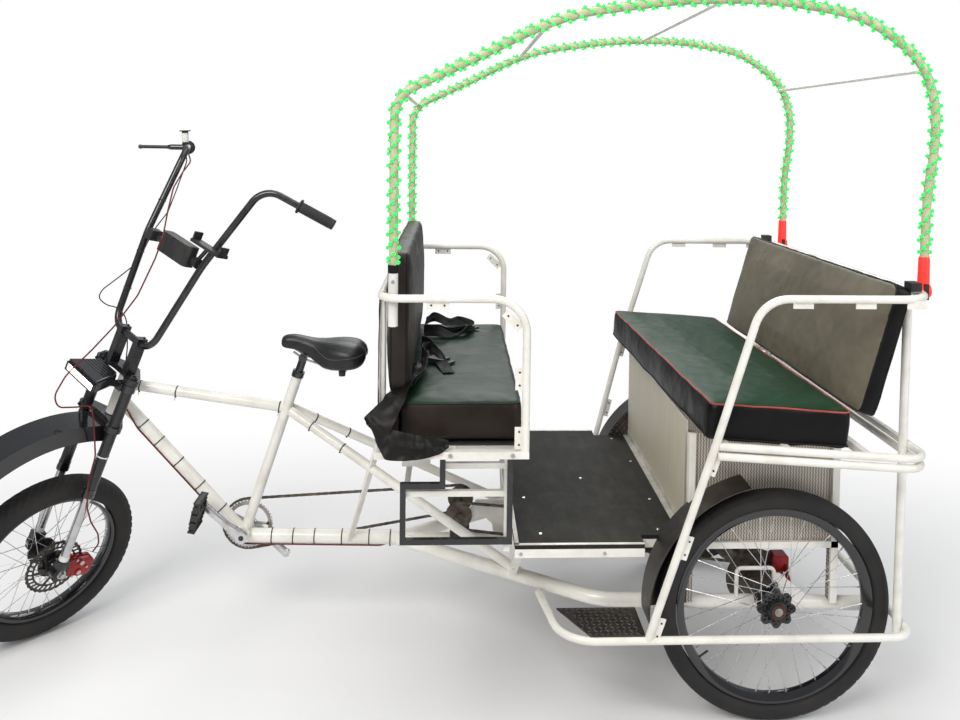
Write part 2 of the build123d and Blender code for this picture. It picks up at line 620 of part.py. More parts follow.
cushion_low = RAIL_R + GAP + 6
with BuildPart() as seat_cushion:
    with BuildSketch(SEAT.offset(cushion_low)):
        with Locations((SEAT_CUSHION_DEPTH / 2, 0)):
            RectangleRounded(SEAT_CUSHION_DEPTH, 2 * SEAT_CUSHION_Y, 22)
    extrude(amount=SEAT_CUSHION_THICK)
    fillet(seat_cushion.faces().sort_by(Axis.Z)[-1].edges(), 14)
keep(seat_cushion, "seat_cushion")

BACK = Plane(
    (BACK_FOOT_X, 0, BACK_FOOT_Z),
    x_dir=(0, 1, 0),
    z_dir=(cos(radians(BACK_TILT)), 0, -sin(radians(BACK_TILT))),
)
with BuildPart() as seat_backrest:
    with BuildSketch(BACK):
        with Locations((0, -BACK_HEIGHT / 2 if BACK.y_dir.Z < 0 else BACK_HEIGHT / 2)):
            RectangleRounded(2 * BACK_Y, BACK_HEIGHT, 26)
    extrude(amount=BACK_THICK)
keep(seat_backrest, "seat_backrest")

POST_TOP_Z = 1240.0
with BuildPart() as rear_posts:
    for side in (-1, 1):
        add(pipe([(POST_X, side * HOOP_Y, OUTER_Z - 14), (POST_X, side * HOOP_Y, POST_TOP_Z)],
                 None, COLLAR_R))
    for solid in (outer_rail, seat_loop, rear_arm_rail):
        add(solid.part, mode=Mode.SUBTRACT)
keep(rear_posts, "rear_posts")

# Canopy
SLEEVE_FOOT_Z, SLEEVE_TOP_Z = 1160.0, 1322.0
HOOP_ROUTE = [(HOOP_FRONT_X, SLEEVE_FOOT_Z), (HOOP_FRONT_X, 1797), (410, 2016), (830, 2078), (1458, 2018),
              (1448, 1600), (POST_X, POST_TOP_Z + 60), (POST_X, POST_TOP_Z)]
HOOP_BENDS = [55, 380, 800, 285, 500, 50]
CROSSBARS = [(-28, 1804), (369, 1988), (848, 2062), (1408, 1880)]


def hoop(side):
    route = [(x, side * HOOP_Y, z) for x, z in HOOP_ROUTE]
    with BuildPart() as bent:
        add(pipe(route, HOOP_BENDS, HOOP_R))
        foot, head = [(HOOP_FRONT_X, side * HOOP_Y, z) for z in (SLEEVE_FOOT_Z, SLEEVE_TOP_Z)]
        add(pipe([foot, head], None, COLLAR_R))
    return bent


with BuildPart() as canopy_hoop_left:
    add(hoop(-1).part)
with BuildPart() as canopy_hoop_right:
    add(hoop(1).part)
keep(canopy_hoop_left, "canopy_hoop_left")
keep(canopy_hoop_right, "canopy_hoop_right")

with BuildPart() as canopy_crossbars:
    for x, z in CROSSBARS:
        add(pipe([(x, -HOOP_Y, z), (x, HOOP_Y, z)], None, 6))
    add(canopy_hoop_left.part, mode=Mode.SUBTRACT)
    add(canopy_hoop_right.part, mode=Mode.SUBTRACT)
keep(canopy_crossbars, "canopy_crossbars")

# Steps outside the foot space
STEP_THICK = 5.0
with BuildPart() as steps:
    for side in (-1, 1):
        with BuildSketch(Plane.XY.offset(OUTER_Z + RAIL_R)):
            with BuildLine():
                Polyline((step_front_x, side * STEP_INNER_Y),
                         (step_front_x + 0.34 * STEP_LONG, side * OUTER_Y),
                         (STEP_REAR_X, side * OUTER_Y), (STEP_REAR_X, side * STEP_INNER_Y), close=True)
            make_face()
        extrude(amount=STEP_THICK)
    add(rear_arm_rail.part, mode=Mode.SUBTRACT)
keep(steps, "steps")

# Rear fenders: a curved sheet over the front of each wheel and a plate toward the foot space
FENDER_OUTER_Y, FENDER_SIDE = 545.0, 130.0


def fender_sector(inner, outer, y0, y1):
    """A sector about the rear axle between two radii, from y0 to y1."""
    with BuildPart() as sector:
        with BuildSketch(Plane.XZ.offset(-y1)):
            with BuildLine():
                arcs = []
                for radius in (inner, outer):
                    centre = (REAR_AXLE_X, REAR_TYRE_R)
                    arcs.append(CenterArc(centre, radius, FENDER_START, FENDER_END - FENDER_START))
                Line(arcs[0] @ 0, arcs[1] @ 0)
                Line(arcs[0] @ 1, arcs[1] @ 1)
            make_face()
        extrude(amount=y1 - y0)
    return sector.part


with BuildPart() as rear_fenders:
    for side in (-1, 1):
        for inner, width in ((FENDER_R, FENDER_OUTER_Y - BOX_Y), (FENDER_R - FENDER_SIDE, FENDER_THICK)):
            y0, y1 = sorted((side * BOX_Y, side * (BOX_Y + width)))
            add(fender_sector(inner, FENDER_R + FENDER_THICK, y0, y1))
keep(rear_fenders, "rear_fenders")

# Rear axle, with its differential, bearings and brake disc
REAR_CHAIN_Y = -100.0
BRAKE_DISC_Y, BRAKE_DISC_R = -330.0, 90.0


def disc(y, radius, width):
    """A disc on the rear axle."""
    with BuildPart() as plate:
        with BuildSketch(Plane.XZ.offset(-y)):
            with Locations((REAR_AXLE_X, REAR_TYRE_R)):
                Circle(radius)
        extrude(amount=width / 2, both=True)
    return plate.part


with BuildPart() as rear_axle:
    inner = WHEEL_Y - REAR_HUB_LENGTH / 2 - 6
    add(disc(0, 12.5, 2 * inner))
    add(disc(0, REAR_PIN_R, 2 * (WHEEL_Y + REAR_HUB_LENGTH / 2 - 16)))
    add(disc(0, 62, 96))
    add(disc(0, 40, 150))
    add(disc(BRAKE_DISC_Y, BRAKE_DISC_R, 3))
    add(disc(BRAKE_DISC_Y, 32, 30))
    add(disc(REAR_CHAIN_Y, 56, 4))
    for side in (-1, 1):
        foot, head = [(REAR_AXLE_X, side * (CHASSIS_Y - 4), REAR_TYRE_R + rise) for rise in (-34, 30)]
        add(bar(foot, head, 44, 70, up=(1, 0, 0)))
    add(chassis_rail_left.part, mode=Mode.SUBTRACT)
    add(chassis_rail_right.part, mode=Mode.SUBTRACT)
keep(rear_axle, "rear_axle")

with BuildPart() as rear_caliper:
    block_x, block_z = REAR_AXLE_X + 72, REAR_TYRE_R + 52
    with BuildSketch(Plane.XZ.offset(-BRAKE_DISC_Y - 20)):
        with Locations((block_x, block_z)):
            RectangleRounded(50, 50, 9)
    extrude(amount=40)
    with BuildSketch(Plane.XZ.offset(-BRAKE_DISC_Y - 4)):
        with Locations((REAR_AXLE_X, REAR_TYRE_R)):
            Circle(BRAKE_DISC_R + 4)
    extrude(amount=8, mode=Mode.SUBTRACT)
    add(bar((block_x + 16, BRAKE_DISC_Y - 16, block_z - 12), (block_x + 16, -CHASSIS_Y, CHASSIS_Z - 10),
            22, 6, up=(1, 0, 0)))
    with BuildSketch(Plane.XZ.offset(CHASSIS_Y)):
        with Locations((block_x + 16, CHASSIS_Z)):
            Rectangle(CHASSIS_R, 4 * CHASSIS_R)
    extrude(amount=CHASSIS_R, mode=Mode.SUBTRACT)
    add(chassis_rail_left.part, mode=Mode.SUBTRACT)
keep(rear_caliper, "rear_caliper")


def tyre(radius, section):
    """A tyre turned about the Y axis at the origin."""
    outline = tyre_outline(radius, section)
    ring = outline + [(-across, r) for across, r in reversed(outline)]
    with BuildPart() as solid:
        with BuildSketch(Plane.YZ):
            with BuildLine():
                Polyline(*ring, close=True)
            make_face()
        revolve(axis=Axis.Y)
    return solid.part


def bead(radius, section):
    """Radius at which a tyre sits on its rim."""
    return radius - section * 0.86


def rim(radius, section, depth):
    half = section / 2 * 0.6
    seat = bead(radius, section)
    inner = seat - depth
    with BuildPart() as solid:
        with BuildSketch(Plane.YZ):
            with BuildLine():
                Polyline((half, seat), (half, seat - 7), (half * 0.45, inner), (-half * 0.45, inner),
                         (-half, seat - 7), (-half, seat), close=True)
            make_face()
        revolve(axis=Axis.Y)
    return solid.part


def spokes(count, flange_r, flange_y, rim_r):
    """Straight spokes that lean forward and back in turn, from two hub flanges to the rim."""
    with BuildPart() as cage:
        for index in range(count):
            side = 1 if index % 2 else -1
            cross = 1 if index % 4 < 2 else -1
            turn = 360 / count * index
            foot_angle = radians(turn + cross * 62)
            head_angle = radians(turn)
            foot = (flange_r * cos(foot_angle), side * flange_y, flange_r * sin(foot_angle))
            head = (rim_r * cos(head_angle), side * 3, rim_r * sin(head_angle))
            run = Vector(*head) - Vector(*foot)
            with BuildSketch(Plane(foot, z_dir=run)):
                RegularPolygon(SPOKE_R, 4)
            extrude(amount=run.length)
    return cage.part


def turned(profile):
    """A solid turned about the Y axis from a half profile of (along Y, radius)."""
    with BuildPart() as solid:
        with BuildSketch(Plane.YZ):
            with BuildLine():
                Polyline(*profile, close=True)
            make_face()
        revolve(axis=Axis.Y)
    return solid.part


with BuildPart() as rear_wheel:
    half = REAR_HUB_LENGTH / 2
    bore = REAR_PIN_R + RUNNING_GAP
    add(turned([(-half, bore), (-half, 15), (-half + 6, REAR_HUB_R), (-30, REAR_HUB_R), (-30, 40), (-25, 40),
                (-25, 22), (22, 22), (22, REAR_FLANGE_R), (30, REAR_FLANGE_R), (34, 30), (half, 26), (half, 12),
                (half + 12, 10), (half + 12, 0), (half - 12, 0), (half - 12, bore)]))
    add(rim(REAR_TYRE_R, REAR_TYRE_SECTION, REAR_RIM_DEPTH))
    add(spokes(REAR_SPOKES, 36, 26, bead(REAR_TYRE_R, REAR_TYRE_SECTION) - REAR_RIM_DEPTH + 3))
rear_tyre = tyre(REAR_TYRE_R, REAR_TYRE_SECTION)
for side, name in ((-1, "left"), (1, "right")):
    place = Location((REAR_AXLE_X, side * WHEEL_Y, REAR_TYRE_R), (0, 0, 180 if side < 0 else 0))
    with BuildPart() as wheel:
        add(rear_wheel.part.moved(place))
    with BuildPart() as outer:
        add(rear_tyre.moved(place))
    keep(wheel, f"rear_wheel_{name}")
    keep(outer, f"rear_tyre_{name}")

# Steering: fork, bars, lamp, fender
AXLE_PLACE = steered_plane((-FORK_OFFSET, 0, -AXLE_DROP), (0, 0, 1), (1, 0, 0)).location

with BuildPart() as front_wheel:
    half = FRONT_HUB_LENGTH / 2
    bore = FRONT_PIN_R + RUNNING_GAP
    rotor_in = ROTOR_Y + ROTOR_THICK
    add(turned([(-half, bore), (-half, 12), (ROTOR_Y, 12), (ROTOR_Y, ROTOR_R), (rotor_in, ROTOR_R),
                (rotor_in, 26), (-40, 22), (-40, 42), (-36, 42), (-34, FRONT_HUB_R - 5),
                (34, FRONT_HUB_R - 5), (36, 42), (40, 42), (40, 22), (half, 12), (half, bore)]))
    add(rim(FRONT_TYRE_R, FRONT_TYRE_SECTION, FRONT_RIM_DEPTH))
    add(spokes(FRONT_SPOKES, 38, 38, bead(FRONT_TYRE_R, FRONT_TYRE_SECTION) - FRONT_RIM_DEPTH + 3))
with BuildPart() as front_wheel_set:
    add(front_wheel.part.moved(AXLE_PLACE))
with BuildPart() as front_tyre:
    add(tyre(FRONT_TYRE_R, FRONT_TYRE_SECTION).moved(AXLE_PLACE))
keep(front_wheel_set, "front_wheel")
keep(front_tyre, "front_tyre")


def crown(height):
    """One fork crown, a flat yoke from the steerer to both legs."""
    with BuildPart() as yoke:
        with BuildSketch(STEER.offset(height)):
            with BuildLine():
                Polyline((26, -20), (26, 20), (-20, LEG_Y + 12), (-FORK_OFFSET - 14, LEG_Y + 12),
                         (-FORK_OFFSET + 4, 30), (-FORK_OFFSET + 4, -30), (-FORK_OFFSET - 14, -LEG_Y - 12),
                         (-20, -LEG_Y - 12), close=True)
            make_face()
            with Locations((-FORK_OFFSET, LEG_Y), (-FORK_OFFSET, -LEG_Y)):
                Circle(LEG_UPPER_R + 8)
        extrude(amount=CROWN_THICK)
    return yoke.part


with BuildPart() as fork_crowns:
    add(crown(CROWN_TOP_Z))
    add(crown(CROWN_LOW_Z))
    with BuildSketch(STEER.offset(CROWN_LOW_Z)):
        Circle(STEERER_R)
    extrude(amount=CROWN_TOP_Z + CROWN_THICK + 8 - CROWN_LOW_Z)
    for side in (-1, 1):
        with BuildSketch(STEER.offset(CROWN_TOP_Z + CROWN_THICK)):
            with Locations((BAR_FOOT[0], side * RISER_Y)):
                Rectangle(34, 26)
        extrude(amount=BAR_FOOT[2] + 18 - CROWN_TOP_Z - CROWN_THICK)

with BuildPart() as fork_legs:
    for side in (-1, 1):
        with BuildSketch(STEER.offset(LEG_SEAL)):
            with Locations((-FORK_OFFSET, side * LEG_Y)):
                Circle(LEG_UPPER_R)
        extrude(amount=LEG_TOP - LEG_SEAL)
        with BuildSketch(STEER.offset(-AXLE_DROP + 28)):
            with Locations((-FORK_OFFSET, side * LEG_Y)):
                Circle(LEG_LOWER_R)
        extrude(amount=LEG_SEAL + AXLE_DROP - 28)
        with BuildSketch(STEER.offset(-AXLE_DROP - 22)):
            with Locations((-FORK_OFFSET, side * LEG_Y)):
                Rectangle(2 * LUG_HALF_X, 34)
        extrude(amount=62)
    with BuildSketch(steered_plane((-FORK_OFFSET, -LEG_Y - 25, -AXLE_DROP), (0, 1, 0), (1, 0, 0))):
        Circle(FRONT_PIN_R)
    extrude(amount=2 * LEG_Y + 50)
keep(fork_legs, "fork_legs")

with BuildPart() as handlebar:
    half_route = [BAR_FOOT, BAR_MID, BAR_TOP, BAR_END]
    route = [steered(x, -y, z) for x, y, z in reversed(half_route)]
    route += [steered(*point) for point in half_route]
    add(pipe([tuple(p) for p in route], [70, 400, 62, 62, 400, 70], BAR_R))
    add(pipe([tuple(steered(BAR_MID[0], side * BAR_MID[1], BAR_MID[2])) for side in (-1, 1)], None, 8))

with BuildPart() as fork_crowns_cut:
    add(fork_crowns.part)
    add(fork_legs.part, mode=Mode.SUBTRACT)
    add(handlebar.part, mode=Mode.SUBTRACT)
keep(fork_crowns_cut, "fork_crowns")

with BuildPart() as grips:
    for side in (-1, 1):
        end_point = steered(BAR_END[0], side * BAR_END[1], BAR_END[2])
        toward = (steered(BAR_TOP[0], side * BAR_TOP[1], BAR_TOP[2]) - end_point).normalized()
        with BuildSketch(Plane(end_point - toward * 6, z_dir=toward)):
            Circle(GRIP_R)
        extrude(amount=GRIP_LENGTH)
        with BuildSketch(Plane(end_point + toward * (GRIP_LENGTH - 12), z_dir=toward)):
            Circle(GRIP_R + 7)
        extrude(amount=5)
    add(handlebar.part, mode=Mode.SUBTRACT)
keep(handlebar, "handlebar")
keep(grips, "grips")

# Lever, reservoir and throttle at the right grip, a bag and a phone holder on the brace
BAG_X, BAG_Y, BAG_Z, BAG_THICK, BAG_WIDE, BAG_TALL = -18.0, -38.0, 518.0, 44.0, 168.0, 66.0
HOLDER_Y, HOLDER_Z, HOLDER_LONG = -168.0, 598.0, 156.0
LEVER_TIP = (6.0, 400.0, 779.0)
RESERVOIR_FOOT, RESERVOIR_TOP = (99.0, 292.0, 846.0), (88.0, 304.0, 886.0)
with BuildPart() as bar_fittings:
    bar_end = steered(*BAR_END)
    inward = (steered(*BAR_TOP) - bar_end).normalized()
    for from_end, radius, long in ((GRIP_LENGTH, 24, 30), (GRIP_LENGTH + 34, 18, 22)):
        with BuildSketch(Plane(bar_end + inward * from_end, z_dir=inward)):
            Circle(radius)
        extrude(amount=long)
    clamp = bar_end + inward * (GRIP_LENGTH + 45)
    add(pipe([tuple(clamp), tuple(steered(*LEVER_TIP))], None, 6))
    add(pipe([tuple(steered(*RESERVOIR_FOOT)), tuple(steered(*RESERVOIR_TOP))], None, 11))
    top = steered(*RESERVOIR_TOP)
    with BuildSketch(Plane(top, z_dir=top - steered(*RESERVOIR_FOOT))):
        Circle(19)
    extrude(amount=4)
    with BuildSketch(STEER.offset(BAG_Z)):
        with Locations((BAG_X, BAG_Y)):
            RectangleRounded(BAG_THICK, BAG_WIDE, 14)
    extrude(amount=BAG_TALL)
    with BuildSketch(steered_plane((BAR_MID[0], HOLDER_Y + 18, BAR_MID[2]), (0, 1, 0), (1, 0, 0))):
        Circle(17)
    extrude(amount=28)
    with BuildSketch(steered_plane((BAR_MID[0], 112, BAR_MID[2]), (0, 1, 0), (1, 0, 0))):
        Rectangle(38, 36)
    extrude(amount=34)
    add(pipe([tuple(steered(BAR_MID[0], HOLDER_Y + 32, BAR_MID[2] + 8)),
              tuple(steered(BAR_MID[0], HOLDER_Y + 2, HOLDER_Z + 4))], None, 7))
    with BuildSketch(STEER.offset(HOLDER_Z)):
        with Locations((BAR_MID[0], HOLDER_Y)):
            Rectangle(40, HOLDER_LONG)
    extrude(amount=10)
    with BuildSketch(STEER.offset(HOLDER_Z)):
        for side in (-1, 1):
            with Locations((BAR_MID[0], HOLDER_Y + side * (HOLDER_LONG / 2 - 4))):
                Rectangle(30, 8)
    extrude(amount=34)
    add(handlebar.part, mode=Mode.SUBTRACT)
    add(grips.part, mode=Mode.SUBTRACT)
keep(bar_fittings, "bar_fittings")

LAMP_X, LAMP_Z, LAMP_WIDE, LAMP_TALL = -160.0, 83.0, 184.0, 42.0
LAMP_DEEP, LAMP_RISE = 78.0, 16.0
with BuildPart() as headlamp:
    for back, up, wide in ((0, 0, LAMP_WIDE), (LAMP_DEEP, LAMP_RISE, LAMP_WIDE - 60)):
        with BuildSketch(steered_plane((LAMP_X + back, 0, LAMP_Z + up), (1, 0, 0), (0, 1, 0))):
            RectangleRounded(wide, LAMP_TALL, 10)
    loft()
    with BuildSketch(STEER.offset(LAMP_Z - 5)):
        for side in (-1, 1):
            with Locations(((LAMP_X + LAMP_DEEP - FORK_OFFSET) / 2 - 14, side * 54)):
                Rectangle(LAMP_DEEP, 16)
    extrude(amount=16)
    with BuildSketch(STEER.offset(LAMP_Z - 9)):
        for side in (-1, 1):
            with Locations((-FORK_OFFSET, side * LEG_Y)):
                Circle(LEG_UPPER_R + 5)
            with Locations((-FORK_OFFSET - 16, side * 72)):
                Rectangle(30, 34)
    extrude(amount=24)
    add(fork_legs.part, mode=Mode.SUBTRACT)
keep(headlamp, "headlamp")

# Front fender: a long channel on an arc above the tyre, bolted under the lower crown
MUD_R, MUD_X = 430.0, -66.0
MUD_Z = CROWN_LOW_Z - GAP - MUD_R
MUD_HALF, MUD_SKIRT, MUD_WALL = 66.0, 46.0, 3.0
MUD_FROM, MUD_TO = 82.0, 169.0
with BuildPart() as front_fender:
    start = radians(MUD_FROM)
    origin = (MUD_X + MUD_R * cos(start), 0, MUD_Z + MUD_R * sin(start))
    plane = steered_plane(origin, (sin(start), 0, -cos(start)), (0, 1, 0))
    with BuildSketch(plane):
        with BuildLine():
            down = 1 if plane.y_dir.Z < 0 else -1
            skirt, wall, top_half = down * MUD_SKIRT, down * MUD_WALL, MUD_HALF * 0.8
            Polyline((-MUD_HALF, skirt), (-top_half, 0), (top_half, 0), (MUD_HALF, skirt),
                     (MUD_HALF - MUD_WALL, skirt), (top_half - MUD_WALL, wall),
                     (-top_half + MUD_WALL, wall), (-MUD_HALF + MUD_WALL, skirt), close=True)
        make_face()
    centre = steered(MUD_X, 0, MUD_Z)
    sideways = steered(0, 1, 0) - steered(0, 0, 0)
    revolve(axis=Axis(tuple(centre), tuple(sideways)), revolution_arc=-(MUD_TO - MUD_FROM))
keep(front_fender, "front_fender")

# Brake caliper, bridging the rotor behind the left leg
CALIPER_X, CALIPER_LONG, CALIPER_TALL = 10.0, 82.0, 84.0
CALIPER_OUT_Y, CALIPER_IN_Y, ROTOR_ROOM = -80.0, -42.0, 4.5
with BuildPart() as front_caliper:
    axle_z = -AXLE_DROP
    block = (CALIPER_X + CALIPER_LONG / 2, CALIPER_OUT_Y, axle_z)
    with BuildSketch(steered_plane(block, (0, 1, 0), (1, 0, 0))):
        RectangleRounded(CALIPER_LONG, CALIPER_TALL, 12)
    extrude(amount=CALIPER_IN_Y - CALIPER_OUT_Y)
    slot_long = ROTOR_R - FORK_OFFSET + 5 - CALIPER_X
    slot_wide = ROTOR_THICK + 2 * ROTOR_ROOM
    slot = (CALIPER_X + slot_long / 2, ROTOR_Y - ROTOR_ROOM, axle_z)
    with BuildSketch(steered_plane(slot, (0, 1, 0), (1, 0, 0))):
        Rectangle(slot_long, CALIPER_TALL)
    extrude(amount=slot_wide, mode=Mode.SUBTRACT)
    tab_from, tab_to = LUG_HALF_X - FORK_OFFSET, CALIPER_X + 20
    tab = ((tab_from + tab_to) / 2, CALIPER_OUT_Y - 6, axle_z + 8)
    with BuildSketch(steered_plane(tab, (0, 1, 0), (1, 0, 0))):
        Rectangle(tab_to - tab_from, 44)
    extrude(amount=10)
keep(front_caliper, "front_caliper")

# Brake hose from the lever, looped before the lamp and tied to the left leg, and the throttle wire
HOSE_R = 2.5
HOSE_ROUTE = [(112, 286, 826), (92, 215, 800), (50, 178, 764), (-11, 110, 716), (-42, 50, 648), (-60, 0, 572),
              (-64, -8, 499), (-85, -20, 373), (-112, 0, 256), (-150, 11, 168), (-175, 22, 112), (-180, 50, 58),
              (-193, 50, -10), (-182, 26, -38), (-153, -20, -14),
              (-142, -78, 20), (-126, -86, -18), (-95, -86, -86), (-70, -90, -150), (-70, -104, -238),
              (-46, -112, -319), (-8, -106, -376), (42, -96, -429), (70, -84, -476), (71, -66, -518)]
WIRE_ROUTE = [(100, 290, 826), (98, 246, 796), (50, 176, 700), (42, 166, 618), (16, 170, 540), (2, 166, 428),
              (-45, 168, 367), (-90, 168, 314), (-92, 166, 286), (-64, 148, 270), (-54, 108, 282), (-24, 88, 260),
              (-4, 84, 222), (4, 56, 160), (2, 34, 120)]
with BuildPart() as brake_hose:
    add(cord([steered(*point) for point in HOSE_ROUTE], HOSE_R))
    for solid in (bar_fittings, handlebar, front_caliper):
        add(solid.part, mode=Mode.SUBTRACT)
keep(brake_hose, "brake_hose")
with BuildPart() as throttle_wire:
    add(cord([steered(*point) for point in WIRE_ROUTE], 2.0))
    for solid in (bar_fittings, handlebar, fork_crowns_cut):
        add(solid.part, mode=Mode.SUBTRACT)
keep(throttle_wire, "throttle_wire")

# Hose along the underside of the down tube and the boom, where it goes inside
along_down = Vector(BB_X - 10, 0, BB_Z - 6) - down_start
beside_down = Vector(-0.6 * sqrt(0.5), -0.6, -0.53).normalized() * (DOWN_TUBE_R + HOSE_R + GAP)
beside_boom = Vector(0, -0.6, -0.8) * (BOOM_R + HOSE_R + GAP)
with BuildPart() as frame_hose:
    route = [HEAD.from_local_coords(Vector(*point)) for point in ((0, -20, 62), (12, -34, 52), (34, -34, 6))]
    route += [down_start + along_down * 0.16 + beside_down, down_start + along_down * 0.94 + beside_down,
              (BB_X - 8, -17, BB_Z - 40), Vector(BB_X + 34, 0, BB_Z - 21) + beside_boom,
              Vector(BOOM_END_X - 60, 0, BOOM_Z + 1) + beside_boom, (BOOM_END_X - 24, -6, BOOM_Z - 10)]
    add(cord(route, HOSE_R))
    for solid in (head_tube, down_tube, boom_tube, seat_tube):
        add(solid.part, mode=Mode.SUBTRACT)
keep(frame_hose, "frame_hose")

# Cranks and the left pedal
with BuildPart() as crankset:
    ARM_Y, ARM_THICK = 62.0, 14.0
    for side, turn in ((-1, CRANK_ANGLE), (1, CRANK_ANGLE + 180)):
        tip_x = BB_X + CRANK_LENGTH * cos(radians(turn))
        tip_z = BB_Z + CRANK_LENGTH * sin(radians(turn))
        with BuildSketch(Plane.XZ.offset(-side * ARM_Y - ARM_THICK / 2)):
            with Locations((BB_X, BB_Z)):
                Circle(19)
            with Locations((tip_x, tip_z)):
                Circle(14)
            with BuildLine():
                ux, uz = cos(radians(turn)), sin(radians(turn))
                Polyline((BB_X - 17 * uz, BB_Z + 17 * ux), (tip_x - 11 * uz, tip_z + 11 * ux),
                         (tip_x + 11 * uz, tip_z - 11 * ux), (BB_X + 17 * uz, BB_Z - 17 * ux), close=True)
            make_face()
            with Locations((tip_x, tip_z)):
                Circle(6.5, mode=Mode.SUBTRACT)
        extrude(amount=ARM_THICK)
    with BuildSketch(Plane.XZ.offset(-ARM_Y)):
        with Locations((BB_X, BB_Z)):
            Circle(SPINDLE_R)
    extrude(amount=2 * ARM_Y)
    with BuildSketch(Plane.XZ.offset(-46)):
        with Locations((BB_X, BB_Z)):
            Circle(80)
            Circle(52, mode=Mode.SUBTRACT)
            for turn in range(0, 360, 72):
                with Locations((30 * cos(radians(turn)), 30 * sin(radians(turn)))):
                    Rectangle(64, 12, rotation=turn)
            Circle(SPINDLE_R)
    extrude(amount=4)
keep(crankset, "crankset")

pedal_x = BB_X + CRANK_LENGTH * cos(radians(CRANK_ANGLE))
pedal_z = BB_Z + CRANK_LENGTH * sin(radians(CRANK_ANGLE))
PEDAL_INNER_Y, PEDAL_WIDE, PEDAL_LONG, PEDAL_THICK = 76.0, 96.0, 98.0, 22.0
with BuildPart() as pedal:
    with BuildSketch(Plane.XZ.offset(PEDAL_INNER_Y)):
        with Locations((pedal_x, pedal_z)):
            Rectangle(PEDAL_THICK, PEDAL_LONG, rotation=-12)
    extrude(amount=PEDAL_WIDE)
    with BuildSketch(Plane.XZ.offset(ARM_Y - ARM_THICK / 2)):
        with Locations((pedal_x, pedal_z)):
            Circle(6)
    extrude(amount=PEDAL_INNER_Y - ARM_Y + ARM_THICK / 2)
keep(pedal, "pedal")

# Countershaft under the bench, and the chain from the cranks to it
with BuildPart() as countershaft:
    with BuildSketch(Plane.XZ.offset(-112)):
        with Locations((SHAFT_X, SHAFT_Z)):
            Circle(10)
    extrude(amount=224)
    for y in (CHAIN_Y, REAR_CHAIN_Y):
        with BuildSketch(Plane.XZ.offset(-y - 2)):
            with Locations((SHAFT_X, SHAFT_Z)):
                Circle(SHAFT_SPROCKET_R)
        extrude(amount=4)
    for side in (-1, 1):
        with BuildSketch(Plane.XZ.offset(-side * SHAFT_BLOCK_Y - SHAFT_BLOCK_WIDE / 2)):
            with Locations((SHAFT_X, SHAFT_Z)):
                Circle(26)
            with Locations((SHAFT_X, SHAFT_Z - 50)):
                Rectangle(64, 100)
        extrude(amount=SHAFT_BLOCK_WIDE)
    add(boom_tube.part, mode=Mode.SUBTRACT)
    add(chassis_rail_left.part, mode=Mode.SUBTRACT)
    add(chassis_rail_right.part, mode=Mode.SUBTRACT)
keep(countershaft, "countershaft")


def chain(x0, z0, r0, x1, z1, r1, y, wide=8.0, tall=8.0):
    """A closed chain loop round two sprockets, as a flat band."""
    run = Vector(x1 - x0, z1 - z0)
    turn = atan2(run.Y, run.X)
    slope = asin((r0 - r1) / run.length)
    with BuildPart() as loop:
        with BuildSketch(Plane.XZ.offset(-y - wide / 2)):
            for grow, mode in ((tall, Mode.ADD), (0, Mode.SUBTRACT)):
                with Locations((x0, z0)):
                    Circle(r0 + grow, mode=mode)
                with Locations((x1, z1)):
                    Circle(r1 + grow, mode=mode)
                ends = []
                for side in (1, -1):
                    normal = turn + side * (pi / 2 - slope)
                    ends.append([(x + (r + grow) * cos(normal), z + (r + grow) * sin(normal))
                                 for x, z, r in ((x0, z0, r0), (x1, z1, r1))])
                with BuildLine():
                    Polyline(ends[0][0], ends[0][1], ends[1][1], ends[1][0], close=True)
                make_face(mode=mode)
        extrude(amount=wide)
    return loop.part


with BuildPart() as chains:
    add(chain(BB_X, BB_Z, 82, SHAFT_X, SHAFT_Z, SHAFT_SPROCKET_R + GAP, CHAIN_Y))
    add(chain(SHAFT_X, SHAFT_Z, SHAFT_SPROCKET_R + GAP, REAR_AXLE_X, REAR_TYRE_R, 56 + GAP, REAR_CHAIN_Y))
keep(chains, "chains")

# Tail lamps at the rear posts
with BuildPart() as tail_lamps:
    for side in (-1, 1):
        with BuildSketch(Plane.YZ.offset(REAR_RUN_X + RAIL_R + GAP)):
            with Locations((side * HOOP_Y, REAR_ARM_Z + 4)):
                Circle(19)
        extrude(amount=24)
keep(tail_lamps, "tail_lamps")
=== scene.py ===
import json
import math
import random

import bmesh
import bpy
from mathutils import Matrix, Vector, noise
from mathutils.bvhtree import BVHTree


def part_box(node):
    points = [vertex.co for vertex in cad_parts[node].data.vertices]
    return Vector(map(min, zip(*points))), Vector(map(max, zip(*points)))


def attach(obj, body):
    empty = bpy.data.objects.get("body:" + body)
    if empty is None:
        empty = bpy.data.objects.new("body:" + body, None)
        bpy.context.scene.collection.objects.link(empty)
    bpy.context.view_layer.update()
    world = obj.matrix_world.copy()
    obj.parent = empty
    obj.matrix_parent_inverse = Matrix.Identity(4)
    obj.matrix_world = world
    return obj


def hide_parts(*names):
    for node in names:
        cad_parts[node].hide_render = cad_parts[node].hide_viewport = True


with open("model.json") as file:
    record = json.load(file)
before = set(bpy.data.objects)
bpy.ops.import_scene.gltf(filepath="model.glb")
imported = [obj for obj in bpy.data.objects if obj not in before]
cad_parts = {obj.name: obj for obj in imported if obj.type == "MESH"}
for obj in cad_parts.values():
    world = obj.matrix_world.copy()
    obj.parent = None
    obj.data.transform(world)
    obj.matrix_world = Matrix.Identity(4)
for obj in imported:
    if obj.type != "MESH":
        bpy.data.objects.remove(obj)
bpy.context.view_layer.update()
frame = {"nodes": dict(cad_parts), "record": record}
nodes = frame["nodes"]
random.seed(11)
MM = 0.001
SIDES = ((-1, "left"), (1, "right"))
